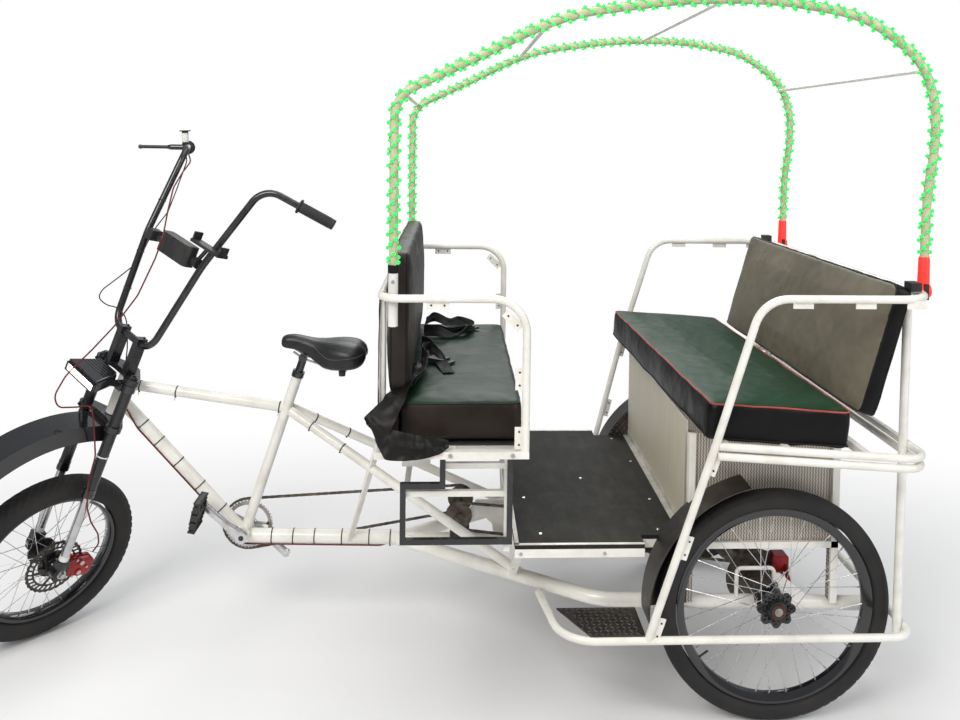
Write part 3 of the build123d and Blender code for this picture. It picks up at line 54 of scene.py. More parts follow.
ACROSS, UP = Vector((0, 1, 0)), Vector((0, 0, 1))


# Materials
def feed(tree, node, inputs):
    """Give each input its value, or link it to the socket that feeds it."""
    for key, value in inputs.items():
        if isinstance(value, bpy.types.NodeSocket):
            tree.links.new(value, node.inputs[key])
        else:
            node.inputs[key].default_value = value


def add_node(tree, kind, inputs=None, **settings):
    node = tree.nodes.new("ShaderNode" + kind)
    for key, value in settings.items():
        setattr(node, key, value)
    feed(tree, node, inputs or {})
    return node


def shader(name, color, rough=0.5, metal=0.0, coat=0.0, specular=0.5):
    """A material with its own Principled shader; returns (material, node tree, shader node)."""
    material = bpy.data.materials.new(name)
    material.use_nodes = True
    material.diffuse_color = (*color, 1)
    tree = material.node_tree
    bsdf = tree.nodes["Principled BSDF"]
    feed(tree, bsdf, {"Base Color": (*color, 1), "Roughness": rough, "Metallic": metal,
                      "Specular IOR Level": specular, "Coat Weight": coat, "Coat Roughness": 0.12})
    return material, tree, bsdf


def place_on(tree, output="Object"):
    return add_node(tree, "TexCoord").outputs[output]


def noise_node(tree, scale, detail, rough, stretch=(1, 1, 1)):
    place = add_node(tree, "Mapping", {"Vector": place_on(tree), "Scale": stretch}).outputs["Vector"]
    return add_node(tree, "TexNoise", {"Vector": place, "Scale": scale, "Detail": detail,
                                       "Roughness": rough}).outputs["Fac"]


def ramp(tree, source, low, high, color_low, color_high):
    node = add_node(tree, "ValToRGB", {"Fac": source})
    for stop, position, color in zip(node.color_ramp.elements, (low, high), (color_low, color_high)):
        stop.position = position
        stop.color = (*color, 1)
    return node.outputs["Color"]


def maths(tree, kind, *terms):
    return add_node(tree, "Math", dict(enumerate(terms)), operation=kind).outputs["Value"]


def vector_maths(tree, kind, *terms):
    node = add_node(tree, "VectorMath", dict(enumerate(terms)), operation=kind)
    return node.outputs["Vector" if kind == "SUBTRACT" else "Value"]


def step_at(tree, value, start, end):
    """Nought below the start, one above the end."""
    return add_node(tree, "MapRange", {"Value": value, "From Min": start, "From Max": end}).outputs["Result"]


def spread(tree, value, low, high):
    """A value from nought to one, moved to another range."""
    return add_node(tree, "MapRange", {"Value": value, "To Min": low, "To Max": high}).outputs["Result"]


def mix_colors(tree, mask, below, above):
    return add_node(tree, "Mix", {"Factor": mask, "A": below, "B": above}, data_type="RGBA").outputs["Result"]


def add_bump(tree, bsdf, height, strength, distance):
    bump = add_node(tree, "Bump", {"Height": height, "Strength": strength, "Distance": distance})
    feed(tree, bsdf, {"Normal": bump.outputs["Normal"]})


def worn(name, color, dirt, rough=0.4, metal=0.0, coat=0.0, scale=14, low=0.35, high=0.75, bump=0.0, grain=300,
         rough_spread=0.15):
    """Paint, plastic or metal with cloudy dirt and an optional fine grain."""
    material, tree, bsdf = shader(name, color, rough, metal, coat, 0.38)
    cloud = noise_node(tree, scale, 6.0, 0.62)
    gloss = spread(tree, cloud, max(0.02, rough - rough_spread), min(1.0, rough + rough_spread))
    feed(tree, bsdf, {"Base Color": ramp(tree, cloud, low, high, color, dirt), "Roughness": gloss})
    if bump:
        add_bump(tree, bsdf, noise_node(tree, grain, 3.0, 0.6), bump, 0.0006)
    return material


def vinyl(name, color, tint, face=None, facing=UP):
    """Coated fabric with creases and a fine grain; the panel that faces one way may take two other shades, which are
    painted light: painted green light from the lamp strings or a painted sheen.
    """
    material, tree, bsdf = shader(name, color, 0.44, specular=0.17)
    cloud = noise_node(tree, 5.0, 5.0, 0.6)
    shade = ramp(tree, cloud, 0.3, 0.75, color, tint)
    # face holds the two shades of painted light for the panel that faces the given way.
    if face:
        towards = vector_maths(tree, "DOT_PRODUCT", place_on(tree, "Normal"), Vector(facing).normalized())
        painted_light_panel = ramp(tree, cloud, 0.3, 0.75, *face)
        shade = mix_colors(tree, step_at(tree, towards, 0.70, 0.78), shade, painted_light_panel)
    feed(tree, bsdf, {"Base Color": shade, "Roughness": spread(tree, cloud, 0.3, 0.56)})
    fine, wide = noise_node(tree, 420.0, 2.0, 0.5), noise_node(tree, 22.0, 3.0, 0.5)
    add_bump(tree, bsdf, maths(tree, "MULTIPLY_ADD", fine, 0.12, wide), 0.35, 0.0035)
    return material


def glow(name, color, strength):
    material, tree, bsdf = shader(name, color, 0.4)
    feed(tree, bsdf, {"Emission Color": (*color, 1), "Emission Strength": strength})
    return material


white_paint = worn("white_paint", (0.80, 0.78, 0.72), (0.58, 0.54, 0.46), 0.32, 0.0, 0.35, 9, 0.45, 0.85)
black_paint = worn("black_paint", (0.012, 0.012, 0.014), (0.045, 0.040, 0.036), 0.26, 0.0, 0.4, 20, 0.5, 0.9)
black_gloss = worn("black_gloss", (0.008, 0.008, 0.010), (0.020, 0.019, 0.018), 0.12, 0.0, 0.8, 10, 0.5, 0.95,
                   rough_spread=0.05)
black_plastic = worn("black_plastic", (0.016, 0.016, 0.017), (0.040, 0.038, 0.035), 0.45, bump=0.3, grain=700)
rubber = worn("rubber", (0.018, 0.018, 0.019), (0.050, 0.046, 0.042), 0.72, bump=0.35, grain=500)
tyre_rubber = worn("tyre_rubber", (0.012, 0.012, 0.013), (0.034, 0.030, 0.026), 0.78, scale=7, high=0.85,
                   bump=0.4, grain=450)
steel = worn("steel_metal", (0.52, 0.51, 0.50), (0.26, 0.22, 0.18), 0.38, 1.0, scale=26, low=0.4, high=0.8)
dirty_steel = worn("dirty_steel_metal", (0.20, 0.17, 0.14), (0.045, 0.032, 0.022), 0.58, 0.75, scale=34, low=0.3,
                   high=0.7, bump=0.5, grain=220)
dark_metal = worn("dark_metal", (0.045, 0.043, 0.042), (0.11, 0.09, 0.07), 0.42, 0.8, scale=30)
red_metal = worn("red_metal", (0.34, 0.008, 0.008), (0.13, 0.012, 0.010), 0.35, 0.4, 0.3)
red_cable = worn("red_cable", (0.15, 0.008, 0.007), (0.07, 0.007, 0.007))
trim_metal = worn("trim_metal", (0.62, 0.60, 0.55), (0.40, 0.37, 0.32), 0.4, 0.6)
worn_steel = worn("worn_steel", (0.16, 0.15, 0.14), (0.07, 0.065, 0.06), 0.4, 0.7)
brown_metal = worn("brown_metal", (0.13, 0.06, 0.035), (0.05, 0.03, 0.02), 0.55, 0.5)
thread = worn("thread", (0.05, 0.05, 0.05), (0.12, 0.11, 0.10), 0.7)
piping_red = worn("piping_red", (0.42, 0.05, 0.035), (0.20, 0.035, 0.03), 0.5)
saddle_cover = worn("saddle_cover", (0.010, 0.010, 0.011), (0.022, 0.022, 0.022), 0.36, bump=0.35, grain=650)
silver_metal = worn("silver_metal", (0.62, 0.62, 0.63), (0.32, 0.29, 0.26), 0.28, 1.0, scale=40, low=0.5, high=0.9)
cable_black = worn("cable_black", (0.012, 0.012, 0.013), (0.03, 0.03, 0.03), 0.45)
webbing = worn("webbing", (0.014, 0.014, 0.015), (0.035, 0.034, 0.032), 0.75, bump=0.8, grain=900)
pale_cord = worn("pale_cord", (0.22, 0.48, 0.24), (0.34, 0.46, 0.26), 0.3)
# Tan hoops with cloudy green patches.
hoop_paint = worn("hoop_paint", (0.58, 0.52, 0.36), (0.26, 0.42, 0.18), 0.35, scale=24)
white_plastic = worn("white_plastic", (0.78, 0.77, 0.74), (0.60, 0.58, 0.54))
lamp_glow = glow("lamp_glow", (1.0, 0.93, 0.78), 4.0)
led_green = glow("led_green", (0.015, 0.72, 0.085), 1.0)
red_lens = glow("red_lens_glow", (0.85, 0.03, 0.02), 0.7)

BENCH_SIDE = (0.013, 0.009, 0.007), (0.030, 0.021, 0.016)
SEAT_SIDE = (0.003, 0.0026, 0.003), (0.007, 0.006, 0.006)
vinyl_black = vinyl("vinyl_black", (0.006, 0.0055, 0.005), (0.014, 0.013, 0.012))
# The upward panel is painted green: painted green light from the lamp strings on black vinyl.
bench_vinyl_painted_green_top = vinyl("bench_vinyl_painted_green_top", *BENCH_SIDE, ((0.003, 0.020, 0.008), (0.008, 0.030, 0.014)))
bench_back_vinyl = vinyl("bench_back_vinyl", (0.018, 0.014, 0.012), (0.036, 0.028, 0.023))
# The upward panel is painted green: painted green light from the lamp strings on black vinyl.
seat_vinyl_painted_green_top = vinyl("seat_vinyl_painted_green_top", *SEAT_SIDE, ((0.001, 0.027, 0.007), (0.003, 0.037, 0.011)), (0.07, 0, 1))
# The front face is painted grey-brown: a painted sheen of bright light on the glossy black vinyl.
seat_back_vinyl_painted_sheen = vinyl("seat_back_vinyl_painted_sheen", *SEAT_SIDE, ((0.115, 0.100, 0.070), (0.190, 0.168, 0.122)),
                        (-0.9636, 0, 0.2672))


def board_material():
    """Black textured floor board with scuffs along the vehicle's width."""
    material, tree, bsdf = shader("board_black", (0.018, 0.017, 0.014), 0.68, specular=0.22)
    cloud, streak = noise_node(tree, 6.0, 8.0, 0.68), noise_node(tree, 9.0, 6.0, 0.7, (3, 1, 1))
    scuffs = maths(tree, "MULTIPLY", cloud, streak)
    feed(tree, bsdf, {"Base Color": ramp(tree, scuffs, 0.16, 0.42, (0.009, 0.0085, 0.0065), (0.032, 0.030, 0.024))})
    add_bump(tree, bsdf, noise_node(tree, 260.0, 3.0, 0.6), 0.5, 0.001)
    return material


def grain_material():
    """Pale panel with upright grain."""
    material, tree, bsdf = shader("panel_grain", (0.62, 0.53, 0.38), 0.5)
    grain = noise_node(tree, 7.0, 7.0, 0.65, (1, 9, 0.7))
    feed(tree, bsdf, {"Base Color": ramp(tree, grain, 0.2, 0.85, (0.50, 0.45, 0.34), (0.62, 0.57, 0.46))})
    add_bump(tree, bsdf, noise_node(tree, 60.0, 4.0, 0.6, (1, 6, 0.6)), 0.25, 0.0008)
    return material


def zigzag_material():
    """Grey-beige side panels of the seat box with fine upright zigzag ribs."""
    rib, zag, sway = 0.0042, 0.006, 0.55
    material, tree, bsdf = shader("zigzag_panel", (0.46, 0.42, 0.36), 0.45, 0.35)
    split = add_node(tree, "SeparateXYZ", {0: place_on(tree)}).outputs
    shift = maths(tree, "MULTIPLY", maths(tree, "PINGPONG", split["Z"], zag), sway)
    stripe = maths(tree, "PINGPONG", maths(tree, "ADD", split["X"], shift), rib)
    height = maths(tree, "MULTIPLY", stripe, 1 / rib)
    feed(tree, bsdf, {"Base Color": ramp(tree, height, 0.25, 0.7, (0.20, 0.175, 0.145), (0.56, 0.51, 0.44))})
    add_bump(tree, bsdf, height, 0.6, 0.0012)
    return material


def leaned(degrees):
    """The backward and the upward axis of something that leans back."""
    angle = math.radians(degrees)
    return Vector((math.cos(angle), 0, -math.sin(angle))), Vector((math.sin(angle), 0, math.cos(angle)))


HEAD_POINT = Vector((-0.985, 0.0, 0.795))
STEER_ANGLE = math.radians(50)
straight_back, axis_up = leaned(20.5)
axis_back = straight_back * math.cos(STEER_ANGLE) + ACROSS * math.sin(STEER_ANGLE)
axis_right = -straight_back * math.sin(STEER_ANGLE) + ACROSS * math.cos(STEER_ANGLE)


def steered(x, y, z):
    """A point of the steering frame, given in millimetres."""
    return HEAD_POINT + (axis_back * x + axis_right * y + axis_up * z) * MM


def fork_material():
    """Bright metal within a distance of a middle plane across the fork, black paint beyond it."""
    middle, reach, blur = -0.3978, 0.1112, 0.0006
    bright, black = (0.55, 0.55, 0.56), (0.012, 0.012, 0.014)
    material, tree, bsdf = shader("fork_finish", black, 0.24)
    height = vector_maths(tree, "DOT_PRODUCT", vector_maths(tree, "SUBTRACT", place_on(tree), HEAD_POINT), axis_up)
    away = maths(tree, "ABSOLUTE", maths(tree, "SUBTRACT", height, middle))
    mask = step_at(tree, away, reach - blur, reach + blur)
    cloud = noise_node(tree, 30.0, 5.0, 0.6)
    shades = [ramp(tree, cloud, 0.4, 0.85, color, [c * 0.6 + 0.02 for c in color]) for color in (bright, black)]
    feed(tree, bsdf, {"Base Color": mix_colors(tree, mask, *shades), "Metallic": spread(tree, mask, 1.0, 0.0),
                      "Roughness": spread(tree, mask, 0.22, 0.24)})
    return material


board_black, panel_grain = board_material(), grain_material()
zigzag_panel, fork_finish = zigzag_material(), fork_material()


def dress(material, names):
    """Give CAD nodes a better material."""
    for name in names.split():
        if not nodes[name].material_slots:
            nodes[name].data.materials.append(material)
        for slot in nodes[name].material_slots:
            slot.material = material


dress(white_paint, "head_tube top_tube down_tube seat_tube boom_tube stays chassis_rail_left chassis_rail_right "
                   "outer_rail bench_frame bench_arm_rail bench_posts under_bench platform_frame seat_loop "
                   "rear_arm_rail rear_posts canopy_crossbars hook_plate")
dress(black_paint, "side_cages handlebar fork_crowns")
dress(fork_finish, "fork_legs")
dress(dirty_steel, "countershaft rear_axle")
dress(black_gloss, "front_fender headlamp")
dress(rubber, "grips")
dress(red_metal, "rear_caliper")
dress(red_cable, "brake_hose frame_hose")
dress(cable_black, "throttle_wire")
dress(black_plastic, "bar_fittings bench_pan seat_pan")
dress(board_black, "platform_floor")
dress(panel_grain, "box_front")
dress(zigzag_panel, "box_frame")
dress(dark_metal, "steps rear_fenders")
dress(red_lens, "tail_lamps")


# Shapes
def add_object(name, data):
    obj = bpy.data.objects.new(name, data)
    bpy.context.scene.collection.objects.link(obj)
    return obj


def piece(name, bm, material, body="frame", smooth=True, sharp=38):
    """Finish a mesh as a piece that rides on a body."""
    mesh = bpy.data.meshes.new(name)
    bmesh.ops.recalc_face_normals(bm, faces=bm.faces)
    bm.to_mesh(mesh)
    bm.free()
    mesh.materials.append(material)
    obj = add_object(name, mesh)
    if smooth:
        for polygon in mesh.polygons:
            polygon.use_smooth = True
        mesh.set_sharp_from_angle(angle=math.radians(sharp))
    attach(obj, body)
    return obj


def turn_of(x, y, z):
    """The rotation that brings the three axes to x, y and z."""
    return Matrix((x, y, z)).transposed()


def frame_to(z_axis, origin):
    """A matrix whose Z runs along z_axis."""
    z = Vector(z_axis).normalized()
    hint = UP if abs(z.z) < 0.9 else Vector((1, 0, 0))
    x = (hint - z * hint.dot(z)).normalized()
    return Matrix.Translation(Vector(origin)) @ turn_of(x, z.cross(x), z).to_4x4()


def turns(count, offset=0.0):
    """Evenly spaced angles round a circle."""
    return [2 * math.pi * (k + offset) / count for k in range(count)]


def local_point(m, radius, angle, z):
    return m @ Vector((radius * math.cos(angle), radius * math.sin(angle), z))


def add_cylinder(bm, start, end, radius, radius2=None, segments=16):
    start, end = Vector(start), Vector(end)
    bmesh.ops.create_cone(bm, cap_ends=True, segments=segments, radius1=radius,
                          radius2=radius if radius2 is None else radius2, depth=(end - start).length,
                          matrix=frame_to(end - start, (start + end) / 2))


def add_box(bm, centre, size, turn=None):
    m = Matrix.Translation(Vector(centre))
    if turn is not None:
        m = m @ turn.to_4x4()
    bmesh.ops.create_cube(bm, size=1.0, matrix=m @ Matrix.Diagonal((*size, 1)))


def add_ball(bm, centre, radius, detail=1):
    bmesh.ops.create_icosphere(bm, subdivisions=detail, radius=radius, matrix=Matrix.Translation(Vector(centre)))


def bolt_head(bm, place, direction, radius, height):
    direction = Vector(direction).normalized()
    add_cylinder(bm, Vector(place) - direction * height * 0.3, Vector(place) + direction * height, radius, segments=6)


def skin(bm, rings, joined=False):
    """Faces between rings of vertices; the last ring joins the first, or both ends are capped."""
    count = len(rings[0])
    for a, b in zip(rings, rings[1:] + rings[:1] if joined else rings[1:]):
        for k in range(count):
            n = (k + 1) % count
            bm.faces.new((a[k], a[n], b[n], b[k]))
    if not joined:
        bm.faces.new(rings[0][::-1])
        bm.faces.new(rings[-1])


def ring_of(bm, profile, m, around):
    """Turn a closed (across, radius) outline about the axle of m."""
    skin(bm, [[bm.verts.new(local_point(m, r, a, z)) for z, r in profile] for a in turns(around)], joined=True)


def smooth_route(points, per=8):
    """Points on a Catmull-Rom curve through the given ones."""
    pts = [Vector(p) for p in points]
    pts = [2 * pts[0] - pts[1]] + pts + [2 * pts[-1] - pts[-2]]
    out = []
    for i in range(1, len(pts) - 2):
        p0, p1, p2, p3 = pts[i - 1:i + 3]
        for k in range(per):
            t = k / per
            out.append(0.5 * ((2 * p1) + (p2 - p0) * t + (2 * p0 - 5 * p1 + 4 * p2 - p3) * t * t
                              + (3 * p1 - p0 - 3 * p2 + p3) * t ** 3))
    out.append(pts[-2])
    return out


def add_tube(bm, route, radius, segments=8, closed=False):
    """Sweep a round section along a route."""
    rings, side, count = [], None, len(route)
    for i, p in enumerate(route):
        ahead = route[(i + 1) % count] if closed or i < count - 1 else p
        behind = route[i - 1] if closed or i > 0 else p
        tangent = (ahead - behind).normalized()
        if side is None:
            side = tangent.orthogonal().normalized()
        side = (side - tangent * side.dot(tangent)).normalized()
        up = tangent.cross(side)
        rings.append([bm.verts.new(p + side * math.cos(a) * radius + up * math.sin(a) * radius)
                      for a in turns(segments)])
    skin(bm, rings, closed)


def box_piece(name, boxes, material):
    """A piece made of plain boxes, each with its centre and size."""
    bm = bmesh.new()
    for centre, size in boxes:
        add_box(bm, centre, size)
    return piece(name, bm, material, smooth=False)


# Tyres
def tyre_piece(name, node, centre, axis, radius, section, around, tread):
    """A round-shouldered tyre whose tread is real relief; tread(angle, across) gives a depth in metres."""
    bm = bmesh.new()
    m = frame_to(axis, centre)
    half = section / 2
    outline = [(half * math.cos(a), radius - half * 0.98 + half * math.sin(a) * 0.98)
               for a in (math.radians(-38 + 256 * k / 30) for k in range(31))]
    rings = []
    for a in turns(around):
        ring = []
        for across, r in outline:
            depth = tread(a, across / half) if r > radius - half * 1.15 else 0.0
            ring.append(bm.verts.new(local_point(m, r - depth, a, across)))
        rings.append(ring)
    skin(bm, rings, joined=True)
    obj = piece(name, bm, tyre_rubber, node.replace("tyre", "wheel"), sharp=60)
    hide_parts(node)


def chevron(a, across):
    """Slanted blocks either side of a centre rib, as a depth."""
    pitch = 2 * math.pi / 62
    s = ((a + abs(across) * 0.16) / pitch + (0.5 if across > 0 else 0)) % 1.0
    return 0.0 if abs(across) > 0.86 or abs(across) < 0.07 or s < 0.66 else 0.0042


def ribbed(a, across):
    """Fine ribs with small cross cuts near the shoulders."""
    groove = (abs(across) * 7.5) % 1.0 > 0.72
    cut = (a * 150 / (2 * math.pi)) % 1.0 > 0.7 and abs(across) > 0.3
    return 0.0022 if abs(across) <= 0.8 and (groove or cut) else 0.0


front_joint = {j["name"]: j for j in frame["record"]["behaviour"]["joints"]}["front_wheel"]
FRONT_AXLE, FRONT_AXIS = Vector(front_joint["pos_m"]), Vector(front_joint["axis"])
REAR_AXLE_X, REAR_AXLE_Z, WHEEL_Y = 1.056, 0.340, 0.487

tyre_piece("tyre_front_tread", "front_tyre", FRONT_AXLE, FRONT_AXIS, radius=0.290, section=0.084, around=496,
           tread=chevron)
for side, word in SIDES:
    tyre_piece(f"tyre_rear_tread_{word}", f"rear_tyre_{word}", (REAR_AXLE_X, side * WHEEL_Y, REAR_AXLE_Z), ACROSS,
               radius=0.340, section=0.062, around=450, tread=ribbed)

# Cushions
FRONT_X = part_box("box_front")[0].x
SEAT_ORIGIN = Vector((FRONT_X - 0.002, 0, 0.868))
seat_x, seat_z = leaned(4.0)


def on_seat(x, y, z):
    return SEAT_ORIGIN + seat_x * x + Vector((0, y, 0)) + seat_z * z


def settle_seat(p):
    """The rear cushion wraps round its board and leans a little over the front of the box, more at the far end."""
    deep, wide, middle, wrap = 0.4, 1.296, 0.06, 0.016
    x, z = (p - SEAT_ORIGIN).dot(seat_x), (p - SEAT_ORIGIN).dot(seat_z)
    if z < middle:
        z -= wrap
    front = 1 - min(1.0, max(0.0, x / deep))
    far = (p.y + wide / 2) / wide
    return on_seat(x - (0.006 + 0.028 * far) * front - 0.006 * far, p.y, z)


INSET, VOXEL, WRINKLE, CLOTH_STEPS = 0.006, 0.010, 0.0015, 20
CLOTH = {"quality": 5, "mass": 0.4, "use_pressure": True, "uniform_pressure_force": 5.0, "tension_stiffness": 12,
         "compression_stiffness": 12, "shear_stiffness": 4, "bending_stiffness": 0.5, "vertex_group_mass": "held"}


def cushion_piece(name, node, material, cap=0.016, flat=None, reshape=None):
    """Inflate a sewn cushion from its CAD solid: the seams hold, the panels bulge between them."""
    mesh = nodes[node].data.copy()
    obj = add_object(name, mesh)
    mesh.transform(nodes[node].matrix_world)
    low, high = (Vector(corner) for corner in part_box(node))
    centre = (low + high) / 2
    for v in mesh.vertices:
        for k in range(3):
            span = (high[k] - low[k]) / 2
            v.co[k] = centre[k] + (v.co[k] - centre[k]) * (span - INSET) / span
        if reshape:
            v.co = reshape(v.co)
    bpy.context.view_layer.objects.active = obj
    for other in bpy.context.selected_objects:
        other.select_set(False)
    obj.select_set(True)
    remesh = obj.modifiers.new("remesh", "REMESH")
    remesh.mode = "VOXEL"
    remesh.voxel_size = VOXEL
    bpy.ops.object.modifier_apply(modifier=remesh.name)
    rest = [v.co.copy() for v in obj.data.vertices]
    normals = [v.normal.copy() for v in obj.data.vertices]
    group = obj.vertex_groups.new(name="held")
    for index, n in enumerate(normals):
        if max(abs(n.x), abs(n.y), abs(n.z)) < 0.93 or (flat and n.dot(Vector(flat)) > 0.8):
            group.add([index], 1.0, "REPLACE")
    cloth = obj.modifiers.new("cloth", "CLOTH")
    for key, value in CLOTH.items():
        setattr(cloth.settings, key, value)
    cloth.settings.effector_weights.gravity = 0
    cloth.collision_settings.use_collision = False
    cloth.point_cache.frame_start = 1
    cloth.point_cache.frame_end = CLOTH_STEPS
    for step in range(1, CLOTH_STEPS + 1):
        bpy.context.scene.frame_set(step)
    bpy.ops.object.modifier_apply(modifier=cloth.name)
    bpy.context.scene.frame_set(1)
    for v, start, n in zip(obj.data.vertices, rest, normals):
        move = v.co - start
        if move.length > cap:
            move = move.normalized() * cap
        pucker = noise.noise(start * 34.0) * WRINKLE + noise.noise(start * 11.0) * WRINKLE * 1.6
        v.co = start + move + n * pucker
    obj.vertex_groups.clear()
    sub = obj.modifiers.new("sub", "SUBSURF")
    sub.levels = sub.render_levels = 1
    bpy.ops.object.modifier_apply(modifier=sub.name)
    obj.data.materials.clear()
    obj.data.materials.append(material)
    for polygon in obj.data.polygons:
        polygon.use_smooth = True
    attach(obj, "frame")
    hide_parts(node)
    return obj


cushions = [
    cushion_piece("bench_seat_pad", "bench_cushion", bench_vinyl_painted_green_top, flat=(0, 0, -1)),
    cushion_piece("bench_back_pad", "bench_backrest", bench_back_vinyl, cap=0.010),
    cushion_piece("rear_seat_pad", "seat_cushion", seat_vinyl_painted_green_top, flat=(0, 0, -1), reshape=settle_seat),
    cushion_piece("rear_back_pad", "seat_backrest", seat_back_vinyl_painted_sheen, cap=0.010),
]

# Canopy hoops and the lights on them
HOOP_Y, HOOP_FRONT_X, HOOP_REAR_X, HOOP_RADIUS = 0.545, -0.044, 1.438, 0.0118
CORD_PITCH, CORD_REACH, CORD_RADIUS, LIGHT_RADIUS = 0.074, 0.0126, 0.0024, 0.0062
HOOP_ROUTE = [(-0.044, 1.325), (-0.044, 1.700), (-0.040, 1.757), (-0.010, 1.803), (0.06, 1.840), (0.19, 1.903),
              (0.33, 1.973), (0.45, 2.017), (0.60, 2.043), (0.76, 2.062), (0.95, 2.066), (1.10, 2.052), (1.24, 2.022),
              (1.345, 1.960), (1.410, 1.898), (1.442, 1.830), (1.456, 1.76), (1.456, 1.66), (1.446, 1.58),
              (1.440, 1.50), (1.439, 1.42), (1.438, 1.33)]


def hoop_points(side, step=0.004):
    """Evenly spaced points along a hoop."""
    points = smooth_route([(x, side * HOOP_Y, z) for x, z in HOOP_ROUTE], 24)
    even, left = [points[0]], step
    for a, b in zip(points, points[1:]):
        span, done = (b - a).length, 0.0
        while span - done >= left:
            done += left
            even.append(a.lerp(b, done / span))
            left = step
        left -= span - done
    return even


def light_string(side, word):
    """Two thin cords wound round a hoop, with small lamps along them."""
    route = [p for p in hoop_points(side) if p.x < 1 or p.z > 1.368]
    cords, lamps = bmesh.new(), bmesh.new()
    for strand in range(2):
        winding, travelled = [], 0.0
        for i, p in enumerate(route):
            tangent = (route[min(i + 1, len(route) - 1)] - route[max(i - 1, 0)]).normalized()
            if i:
                travelled += (p - route[i - 1]).length
            up = tangent.cross(ACROSS).normalized()
            turn = 2 * math.pi * travelled / CORD_PITCH + strand * math.pi + 0.6 * math.sin(travelled * 9)
            winding.append(p + (ACROSS * math.cos(turn) + up * math.sin(turn)) * CORD_REACH)
        add_tube(cords, winding, CORD_RADIUS, 5)
        since, lap = 0.0, 0.015
        for a, b, middle in zip(winding, winding[1:], route[1:]):
            since += (b - a).length
            if since > lap:
                since, lap = 0.0, random.uniform(0.013, 0.020)
                add_ball(lamps, b + (b - middle).normalized() * 0.0034, LIGHT_RADIUS)
    piece(f"light_cord_{word}", cords, pale_cord)
    piece(f"light_lamps_{word}", lamps, led_green)


for side, word in SIDES:
    light_string(side, word)
    y = side * HOOP_Y
    bm = bmesh.new()
    ends = Vector((HOOP_FRONT_X, y, 1.162)), Vector((HOOP_REAR_X, y, 1.262))
    add_tube(bm, [ends[0]] + hoop_points(side, 0.016) + [ends[1]], HOOP_RADIUS, 24)
    hoop = piece(f"hoop_{word}", bm, hoop_paint)
    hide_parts(f"canopy_hoop_{word}")
    bm = bmesh.new()
    add_cylinder(bm, (HOOP_FRONT_X, y, 1.308), (HOOP_FRONT_X, y, 1.330), 0.0148, 0.0152, 32)
    piece(f"hoop_tape_{word}", bm, vinyl_black)
    bm = bmesh.new()
    add_cylinder(bm, (HOOP_FRONT_X, y, 1.161), (HOOP_FRONT_X, y, 1.309), 0.0134, segments=32)
    piece(f"hoop_foot_{word}", bm, white_plastic)


# Wheels, each turned about its own axle
def lobed_disc(bm, m, z0, z1, inner, outer, lobes, depth, around=144):
    """A flat ring whose outer edge waves in and out."""
    rings = []
    for a in turns(around):
        r = outer - depth * (0.5 - 0.5 * math.cos(lobes * a)) ** 1.6
        rings.append([bm.verts.new(local_point(m, *place)) for place in
                      ((inner, a, z0), (r, a, z0), (r, a, z1), (inner, a, z1))])
    skin(bm, rings, joined=True)


SPOKES, SPOKE_CROSS = 36, math.radians(58)


def spoke_set(name, body, m, foot_r, foot_z, rim_r):
    """Crossed spokes with their nipples; foot_r holds the two radii at which they leave the hub."""
    spokes, nipples = bmesh.new(), bmesh.new()
    for index, turn in enumerate(turns(SPOKES)):
        side = 1 if index % 2 else -1
        lean = 1 if index % 4 < 2 else -1
        foot = local_point(m, foot_r[index % 2], turn + lean * SPOKE_CROSS, side * foot_z)
        head = local_point(m, rim_r, turn, side * 0.004)
        add_cylinder(spokes, foot, head, 0.0011, segments=6)
        add_cylinder(nipples, head + (foot - head).normalized() * 0.013, head, 0.0021, segments=6)
    piece(f"{name}_spokes", spokes, silver_metal, body)
    piece(f"{name}_nipples", nipples, silver_metal, body)


def rim_piece(name, node, m, bead, half, depth):
    bm = bmesh.new()
    flank = [(1, 0), (1, 0.004), (0.86, 0.009), (0.8, depth * 0.5), (0.45, depth * 0.92)]
    profile = [(half * u, bead - drop) for u, drop in flank] + [(0, bead - depth)]
    profile += [(-half * u, bead - drop) for u, drop in flank[::-1]]
    ring_of(bm, profile + [(-half * 0.7, bead - 0.002), (half * 0.7, bead - 0.002)], m, 128)
    obj = piece(name, bm, black_gloss, node)
    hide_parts(node)


